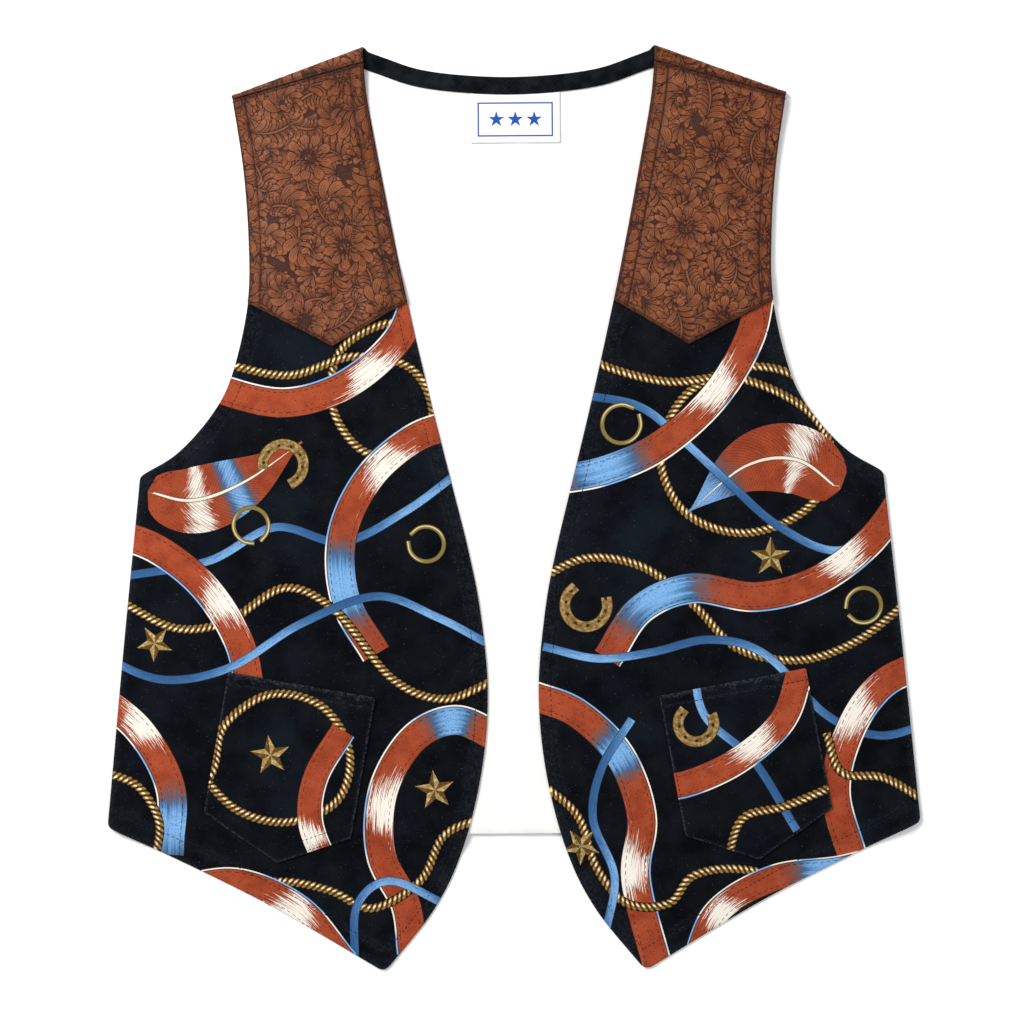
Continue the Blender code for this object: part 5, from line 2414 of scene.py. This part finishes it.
@dataclass
class TooledLeather(ClothPiece):
    """A piece of tooled leather, carved within its thickness."""

    slot: str = "tooled_leather"
    finish: str = "tooled_leather"
    thread: str = "brown"
    thickness: float = LEATHER_THICK
    carve_depth: float = 0.00028
    seed: int = 21
    square: float = 0.0002

    @cached_property
    def carving(self) -> Carving:
        """The carved pattern."""
        return Carving(self.outline, self.seed + self.side, self.square)

    def relief(self, points: Array) -> Array:
        """The seams' relief and the carving."""
        return super().relief(points) + self.carve_depth * (self.carving.sampled(points)[0] - 1.0)

    def groove_shade_and_edge(self, points: Array, outline: Array) -> list[Array]:
        """How dark the painted shade of each groove, and the dark edge, make the leather, from 0 to
        1.
        """
        raise NotImplementedError

    def painted_sheen(self, points: Array) -> Array:
        """How much painted sheen the leather has, amber and glossier, from 0 to 1."""
        raise NotImplementedError

    def paint(self, layout: Layout, outline: Array) -> Paint:
        """The carving's height, its dark lines with the painted groove shade, and the painted sheen
        patches.

        Args:
            layout: The cloth's triangles.
            outline: The cloth's edge.

        Returns:
            What the shell carries.
        """
        raised, line = self.carving.sampled(layout.points)
        # The carving's own dark lines, joined with the painted shade of the grooves.
        dark = np.maximum.reduce([line, *self.groove_shade_and_edge(layout.points, outline)])
        numbers = {"raised": raised, "cut_line": dark, "fold_band": self.painted_sheen(layout.points)}
        return Paint(numbers=numbers)


@dataclass
class FrontYoke(TooledLeather, FrontPiece):
    """A tooled front yoke with a folded front edge and a pointed lower edge."""

    name: str = "tooled_front_yoke_{}"
    node: str = "front_yoke_{}"
    rests_on: tuple[str, ...] = ("printed_front_{}",)
    cut: Place = (0.140, 0.205)
    spare: float = 1.2
    step: float = 0.00044
    fold_width: float = 0.0090
    edge_stitch: float = 0.0018
    row_end: float = 0.001
    fold_groove: float = 0.00035

    @property
    def outline(self) -> Array:
        """The yoke's outline."""
        return self.yoke

    @cached_property
    def seams(self) -> list[Seam]:
        """The rows along the yoke's four edges.

        Returns:
            The rows.
        """
        form, inset, hole = self.form, self.edge_stitch, self.armhole_inset
        front, armhole = aside_of(form.front_line, inset), aside_of(form.armhole_line, hole)
        lower, shoulder = aside_of(form.yoke_line, -inset), aside_of(self.shoulder, inset)
        front, armhole, lower, shoulder = (
            clipped(path, inside(self.yoke, path) & free)
            for path, free in (
                (front, front[:, 1] > form.yoke_front[1] + self.row_end),
                (armhole, distance_to(form.yoke_line, armhole) > self.row_end),
                (lower, distance_to(form.front_line, lower) > self.row_end),
                (shoulder, True),
            )
        )
        return [
            Seam(front, form.front_line, self.fold_width, 0.00025, 0.00018, 0.00010, 0.0064),
            Seam(armhole, form.armhole_line, hole, 0.00015, 0.00030, 0.00016),
            Seam(lower, form.yoke_line, inset, 0.0, 0.00020, 0.00012, 0.0068),
            Seam(shoulder, self.shoulder, inset, 0.0, 0.00020, 0.00018, 0.0078),
        ]

    def under(self, points: Array) -> Array:
        """Height of the yoke's underside."""
        return self.form.yoke_level(points, self.side)

    def relief(self, points: Array) -> Array:
        """Also the groove beside the folded edge."""
        away = distance_to(self.form.front_line, points) - self.fold_width
        return super().relief(points) - self.fold_groove * hump(away - 0.0006, 0.0007)

    def groove_shade_and_edge(self, points: Array, outline: Array) -> list[Array]:
        """Painted shade: dark lines in the sunk grooves beside the fold and along the seams, broad
        shade beside them, and a dark line at the edge.

        Args:
            points: Places on the page.
            outline: The cloth's edge.

        Returns:
            The painted darkness at each point, groove by groove.
        """
        fold = distance_to(self.form.front_line, points) - self.fold_width - 0.0005
        # Painted shade in the fold's groove and broad shade beside it; a dark line at the edge.
        found = [hump(fold, 0.0011), 0.45 * hump(fold, 0.0034),
                 0.95 * hump(distance_to(closed(outline), points), 0.0009)]
        for seam in self.seams:
            away = distance_to(seam.path, points)
            # Painted shade in each seam's groove and broad shade beside it.
            found += [0.95 * hump(away, 0.0008), 0.42 * hump(away, 0.0028)]
        return found

    def painted_sheen(self, points: Array) -> Array:
        """Painted sheen: the leather is amber and glossier in patches beside its edges.

        Args:
            points: Places on the page.

        Returns:
            The share of painted sheen at each point.
        """
        lines = (self.form.front_line, self.form.armhole_line)
        away = np.minimum(*(distance_to(line, points) for line in lines)) - self.fold_width
        patchy = smoothstep(0.5 + 0.7 * ripples(points, 0.016, 8))
        return patchy * (1.0 - smoothstep(away / 0.002))


@dataclass
class BackYoke(TooledLeather):
    """The tooled back yoke, face down, folded over both shoulders to the seams."""

    name: str = "tooled_back_yoke"
    node: str = "back_yoke"
    rests_on: tuple[str, ...] = ("studio_floor",)
    held: str = "folded"
    face_down: bool = True
    cut: Place = (0.384, 0.236)
    spare: float = 1.06
    step: float = 0.0011
    under_step: float = 0.009
    carve_depth: float = 0.00025
    seed: int = 32
    square: float = 0.0003
    strip_step: float = 0.0005
    strip_reach: float = 0.03
    fold_steps: int = 10
    fold_start: float = -0.004
    line_step: float = 0.004
    row_inset: float = 0.0018
    row_end: float = 0.0015

    def strip_edge(self, start: float, end: float, width: float) -> Array:
        """One edge of a shoulder strip in the unfolded yoke.

        Args:
            start: Its place along the shoulder where the fold starts.
            end: Its place along the shoulder at the seam.
            width: How far inside the shoulder line the seam lies when folded.

        Returns:
            The edge's points, from the fold's start to the seam.
        """
        form = self.form
        radius = float(form.fold_radius(end))
        run = math.pi * (radius - form.leather / 2) + max(0.0, width - radius)
        places = []
        for past in np.linspace(0.0, run, 15):
            along = start + (end - start) * past / run
            places.append(form.at_shoulder(along, past - float(form.fold_radius(along))))
        return np.array(places)

    @cached_property
    def outline(self) -> Array:
        """The unfolded yoke's outline, counter-clockwise.

        Returns:
            The outline's points.
        """
        form = self.form
        along, outward = form.shoulder_frame([form.seam_neck, form.seam_tip])
        neck_strip = self.strip_edge(form.strip_neck_start, along[0], -outward[0])
        tip_strip = self.strip_edge(form.shoulder_length, along[1], -outward[1])
        armhole = form.armhole_line
        keep = (armhole[:, 1] > form.yoke_armhole[1]) & (armhole[:, 1] < tip_strip[0][1] - 0.002)
        lower = straight(form.yoke_armhole, form.back_yoke_point, step=self.line_step)
        neck = form.neck_line[form.neck_line[:, 0] >= -MERGE]
        seam = straight(tip_strip[-1], neck_strip[-1])
        half = np.vstack([lower[::-1], armhole[keep], tip_strip, seam[1:], neck_strip[-2::-1],
                          neck[-2::-1]])
        return without_repeats(np.vstack([half, mirrored(half)]))

    @cached_property
    def seams(self) -> list[Seam]:
        """The row of stitches beside the left shoulder seam, on the unfolded yoke.

        Returns:
            The rows.
        """
        form = self.form
        along, outward = form.shoulder_frame([form.seam_neck, form.seam_tip])
        places, end = [], self.row_end
        for place, out in ((along[1] - end, outward[1]), (along[0] + end, outward[0])):
            radius = float(form.fold_radius(place))
            past = math.pi * (radius - form.leather / 2) + max(0.0, -out - radius)
            places.append(form.at_shoulder(place, past - self.row_inset - radius))
        path = straight(*places, step=0.002)
        return [Seam(path, path, 0.0, 0.0, 0.00022, 0.00010, 0.0078)]

    def relief(self, points: Array) -> Array:
        """The carving and both shoulders' seams, all sunk in the leather."""
        carved = self.carve_depth * (self.carving.sampled(points)[0] - 1.0)
        return np.minimum(carved + self.seams[0].relief(left_of(points)), 0.0)

    def surfaces(self, points: Array) -> Faces:
        """Folds the flat yoke over the shoulders.

        Args:
            points: Places on the unfolded yoke.

        Returns:
            The plain face and the tooled face.
        """
        form, left = self.form, left_of(points)
        along, outward = form.shoulder_frame(left)
        radius = form.fold_radius(along)
        middle_radius = radius - form.leather / 2
        past = np.maximum(outward + radius, 0.0)
        angle = np.minimum(past / middle_radius, math.pi)
        beyond = np.maximum(past - math.pi * middle_radius, 0.0)
        faces = []
        for face_radius in (radius - form.leather, radius + self.relief(points)):
            across = -radius + face_radius * np.sin(angle) - beyond
            moved = left + (across - outward)[:, None] * form.outward
            moved = np.where((past > 0.0)[:, None], moved, left)
            moved[:, 0] *= np.where(points[:, 0] < 0.0, -1.0, 1.0)
            faces.append(np.column_stack([moved, radius - face_radius * np.cos(angle)]))
        return faces[0], faces[1]

    def guides(self, outline: Array) -> list[Array]:
        """The tooled face's mesh is even."""
        return []

    def detail(self, outline: Array) -> list[Array]:
        """Close points on both strips that lie in front of the shoulders.

        Args:
            outline: The cloth's edge.

        Returns:
            The points.
        """
        start, past, length = self.fold_start, self.strip_reach, self.form.shoulder_length
        ends = ((-past, start), (past + length, start), (past + length, past), (-past, past))
        strip = filling(np.array([self.form.at_shoulder(*end) for end in ends]), self.strip_step)
        strip = np.vstack([strip, strip * (-1.0, 1.0)])
        strip = strip[inside(outline, strip)]
        return [strip[~crowded(strip, outline, self.strip_step / 2)]]

    def turns(self) -> list[Array]:
        """Lines along both folds, so that the plain face turns evenly.

        Returns:
            The lines.
        """
        form, found = self.form, []
        for share in np.linspace(0.0, 1.0, self.fold_steps + 1):
            ends = []
            for along in (0.002, form.shoulder_length - 0.002):
                radius = float(form.fold_radius(along))
                past = share * math.pi * (radius - form.leather / 2)
                ends.append(form.at_shoulder(along, past - radius))
            line = straight(*ends, step=self.line_step)
            found += [line, line * (-1.0, 1.0)]
        return found

    def groove_shade_and_edge(self, points: Array, outline: Array) -> list[Array]:
        """Painted shade in the groove along the seams, and a dark line at the edge.

        Args:
            points: Places on the page.
            outline: The cloth's edge.

        Returns:
            The painted darkness at each point, groove by groove.
        """
        edge = distance_to(closed(outline), points)
        stitched = distance_to(self.seams[0].path, left_of(points))
        # A dark line at the edge and painted shade in the stitched groove.
        return [0.85 * hump(edge, 0.0009), 0.6 * hump(stitched, 0.0008)]

    def painted_sheen(self, points: Array) -> Array:
        """Painted sheen: the leather is amber and glossier over the shoulder folds."""
        return smoothstep(self.form.shoulder_frame(left_of(points))[1] / 0.004) * 0.5

    def stitch(self, sewing: Sewing) -> None:
        """Adds the rows on both shoulders."""
        for side in (1, -1):
            sewing[self.thread].add(self.seams[0].path, self.surfaces, side, self.face_down)


@dataclass
class BackPanel(ClothPiece):
    """The plain back below its yoke."""

    name: str = "back_panel_cloth"
    node: str = "back_panel"
    slot: str = "plain_twill"
    finish: str = "plain_back_twill"
    rests_on: tuple[str, ...] = ("studio_floor",)
    cut: Place = (0.556, 0.372)
    spare: float = 1.08
    step: float = 0.007

    @cached_property
    def outline(self) -> Array:
        """The back's outline.

        Returns:
            The outline's points.
        """
        form = self.form
        hem_x = np.linspace(-form.hem_corner[0], form.hem_corner[0], 161)
        hem = np.column_stack([hem_x, form.back_hem(hem_x)])
        corner = form.at_line(form.armhole_line, form.yoke_armhole[1] - form.gap)
        armhole = form.armhole_line[form.armhole_line[:, 1] < corner[1] - 0.0005]
        armhole = np.vstack([armhole, [corner]])
        point = (form.back_yoke_point[0], form.back_yoke_point[1] - form.gap)
        top = straight(corner, point, step=0.004)
        top = np.vstack([top, mirrored(top)[1:]])
        hem_round, armpit_round = form.hem_corner_round, form.armpit_round
        return joined(
            [hem, form.side_line, armhole, top, mirrored(armhole), mirrored(form.side_line)],
            [hem_round, armpit_round, 0.0, 0.0, armpit_round, hem_round],
        )


@dataclass
class BackLining(ClothPiece):
    """The pale lining of the back, which lies in soft waves between the fronts."""

    name: str = "back_lining_cloth"
    node: str = "back_lining"
    slot: str = "lining"
    finish: str = "cream_lining"
    rests_on: tuple[str, ...] = ("back_panel_cloth", "tooled_back_yoke")
    cut: Place = (0.540, 0.536)
    spare: float = 1.06
    thickness: float = LINING_THICK
    step: float = 0.0045
    side_inset: float = 0.010
    fold_inset: float = 0.0008
    neck_reach: float = 0.088
    wave: float = 0.00016
    wave_length: float = 0.030
    wave_reach: float = 0.10
    wave_top: float = 0.262
    wave_run: float = 0.02

    @cached_property
    def outline(self) -> Array:
        """The lining's outline.

        Returns:
            The outline's points.
        """
        form, inset = self.form, self.fold_inset
        neck_end = form.at_shoulder(0.0, -form.fold_radius_neck - inset)
        tip_end = form.at_shoulder(form.shoulder_length, -form.fold_radius_tip - inset)
        side = form.side_line - (self.side_inset, 0.0)
        hem_x = np.linspace(-side[0][0], side[0][0], 121)
        hem = np.column_stack([hem_x, form.back_hem(hem_x)])
        armhole = form.armhole_line
        keep = (armhole[:, 1] > form.armpit[1]) & (armhole[:, 1] < tip_end[1] - 0.002)
        armhole = armhole[keep & (armhole[:, 0] < side[-1][0])]
        from_middle = form.neck_line[:, 0]
        neck = form.neck_line[(from_middle >= -MERGE) & (from_middle < self.neck_reach)]
        half = np.vstack([side[1:], armhole, [tip_end, neck_end], neck[::-1]])
        return without_repeats(np.vstack([hem, half, mirrored(half)]))

    def under(self, points: Array) -> Array:
        """Height of the lining's underside."""
        return self.form.lining_under(points)

    def relief(self, points: Array) -> Array:
        """Soft waves between the fronts, which end below the neck.

        Args:
            points: Places on the page.

        Returns:
            The height at each point.
        """
        soft = self.wave * ripples(points, self.wave_length, 12)
        soft *= np.abs(points[:, 0]) < self.wave_reach
        return soft * smoothstep((self.wave_top - points[:, 1]) / self.wave_run)


@dataclass
class NeckPiece(ClothPiece):
    """A piece sewn on the lining at the back's neck."""

    rests_on: tuple[str, ...] = ("back_lining_cloth",)
    thickness: float = TRIM_THICK
    under_step: float = 0.005
    neck_end: Place = (0.0950, 0.3030)
    facing_width: float = 0.0115

    @cached_property
    def neck(self) -> Array:
        """The back's neck edge, on to where the yokes hide both ends of the facing.

        Returns:
            The line's points.
        """
        line = self.form.neck_line
        reach = straight(line[-1], self.neck_end)[1:]
        return np.vstack([mirrored(reach), line, reach])

    def under(self, points: Array) -> Array:
        """Height of the piece's underside."""
        return self.form.on_lining(points)


@dataclass
class NeckFacing(NeckPiece):
    """The dark satin facing along the inside of the back's neck edge."""

    name: str = "satin_neck_facing"
    node: str = "neck_facing"
    slot: str = "facing"
    finish: str = "satin_facing"
    cut: Place = (0.200, 0.030)
    spare: float = 1.35
    step: float = 0.0018
    stitch_inset: float = 0.0014
    crown: float = 0.00018

    @cached_property
    def outline(self) -> Array:
        """The facing's outline."""
        return np.vstack([self.neck[::-1], aside_of(self.neck, -self.facing_width)])

    @cached_property
    def seams(self) -> list[Seam]:
        """The row of stitches along the facing's lower edge.

        Returns:
            The rows.
        """
        path = aside_of(self.neck, self.stitch_inset - self.facing_width)[2:-2]
        lower = aside_of(self.neck, -self.facing_width)
        return [Seam(path, lower, self.stitch_inset, 0.0, 0.00022, 0.00008, 0.006)]

    def relief(self, points: Array) -> Array:
        """The facing is a little rounded across its width."""
        inward = np.clip(-nearest(self.neck, points)[1] / self.facing_width, 0.0, 1.0)
        return super().relief(points) + self.crown * np.sin(inward * math.pi)


@dataclass
class NeckLabel(NeckPiece):
    """The bare woven label, sewn on all round."""

    name: str = "woven_neck_label"
    node: str = "neck_label"
    slot: str = "label"
    finish: str = "woven_label"
    thread: str = "white"
    cut: Place = (0.0600, 0.0420)
    spare: float = 1.2
    step: float = 0.0015
    width: float = 0.0592
    height: float = 0.0320
    offset: float = 0.0040
    stitch_inset: float = 0.0016

    @cached_property
    def outline(self) -> Array:
        """The label's outline, whose top follows the facing.

        Returns:
            The outline's points.
        """
        lower = aside_of(self.neck, -self.facing_width - self.form.gap)
        left, right = self.offset - self.width / 2, self.offset + self.width / 2
        top_x = np.linspace(right, left, 25)
        top = np.column_stack([top_x, np.interp(top_x, lower[:, 0], lower[:, 1])])
        bottom = self.form.neck_curve[0][1] - self.facing_width - self.height
        around = straight(top[-1], (left, bottom), (right, bottom), top[0], step=0.0022)
        return without_repeats(np.vstack([top[:-1], around[:-1]]))

    @cached_property
    def seams(self) -> list[Seam]:
        """The row of stitches round the label."""
        path = closed(aside_of(self.outline, self.stitch_inset, loop=True))
        return [Seam(path, closed(self.outline), self.stitch_inset, 0.0, 0.00015, 0.00004, 0.005)]


@dataclass
class Studio:
    """A pale floor, soft light from all round and a camera straight above."""

    floor_size: float = 8.0
    lens: float = 85.0
    height: float = 1.5995
    middle: Place = (0.00004, -0.0031)
    roll: float = math.radians(-0.4)
    world_light: float = 0.52
    lamps: tuple[tuple, ...] = (
        ("key", (-1.1, 1.1, 1.45), 0.8, 47.0),
        ("fill", (1.2, -0.6, 1.6), 1.4, 8.5),
    )

    def floor(self) -> None:
        """Lays the floor."""
        half = self.floor_size / 2
        mesh = bpy.data.meshes.new("studio_floor")
        corners = [(-half, -half, 0), (half, -half, 0), (half, half, 0), (-half, half, 0)]
        mesh.from_pydata(corners, [], [(0, 1, 2, 3)])
        recipe = Recipe("pale_floor")
        cloud = recipe.noise(3.0)
        colour = recipe.mix(cloud, (0.90, 0.90, 0.90), (0.93, 0.93, 0.93))
        mesh.materials.append(recipe.finish(colour, 0.9, cloud, 0.0001))
        linked("studio_floor", mesh)

    def light(self) -> None:
        """Lights the vest softly, a little more from the upper left."""
        world = bpy.data.worlds.new("studio")
        world.use_nodes = True
        sky = world.node_tree.nodes["Background"].inputs
        sky[0].default_value = (1.0, 1.0, 1.0, 1.0)
        sky[1].default_value = self.world_light
        scene = bpy.context.scene
        scene.world = world
        scene.view_settings.view_transform = "Standard"
        for name, place, size, power in self.lamps:
            lamp = bpy.data.lights.new(name, "AREA")
            lamp.shape, lamp.size, lamp.energy = "SQUARE", size, power
            holder = bpy.data.objects.new(name, lamp)
            holder.location = place
            holder.rotation_euler = (-Vector(place)).to_track_quat("-Z", "Y").to_euler()
            scene.collection.objects.link(holder)

    def camera(self) -> None:
        """Hangs the camera straight above the vest."""
        data = bpy.data.cameras.new("camera")
        data.lens, data.sensor_width, data.clip_end = self.lens, 36.0, 20.0
        camera = bpy.data.objects.new("camera", data)
        camera.location = (*self.middle, self.height)
        camera.rotation_euler = (0.0, 0.0, self.roll)
        bpy.context.scene.collection.objects.link(camera)
        bpy.context.scene.camera = camera

    def build(self) -> None:
        """Sets up floor, light and camera."""
        self.floor()
        self.light()
        self.camera()


def main() -> None:
    """Builds the vest, piece by piece, and the studio round it."""
    logging.basicConfig(level=logging.INFO, format="%(message)s")
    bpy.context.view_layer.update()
    form, wardrobe = VestForm(), Wardrobe()
    sewing = {
        "navy": Topstitching("navy_stitches", "printed_twill", "navy_thread"),
        "brown": Topstitching("brown_stitches", "tooled_leather", "brown_thread", 0.0030, 0.0024),
        "white": Topstitching("white_stitches", "label", "white_thread", 0.0024, 0.0020, 0.0003),
    }
    Studio().build()
    pieces = [BackPanel(form), BackYoke(form), BackLining(form), NeckFacing(form), NeckLabel(form)]
    for side, pocket_x in ((1, 0.1527), (-1, 0.1474)):
        pieces += [PrintedFront(form, side), FrontYoke(form, side),
                   PatchPocket(form, side, x=pocket_x)]
    built = [piece.build(wardrobe, sewing) for piece in pieces]
    built += [rows.build(wardrobe) for rows in sewing.values()]
    for piece in built:
        LOG.info("%s: %d faces", piece.name, len(piece.data.polygons))


if __name__ == "__main__":
    main()
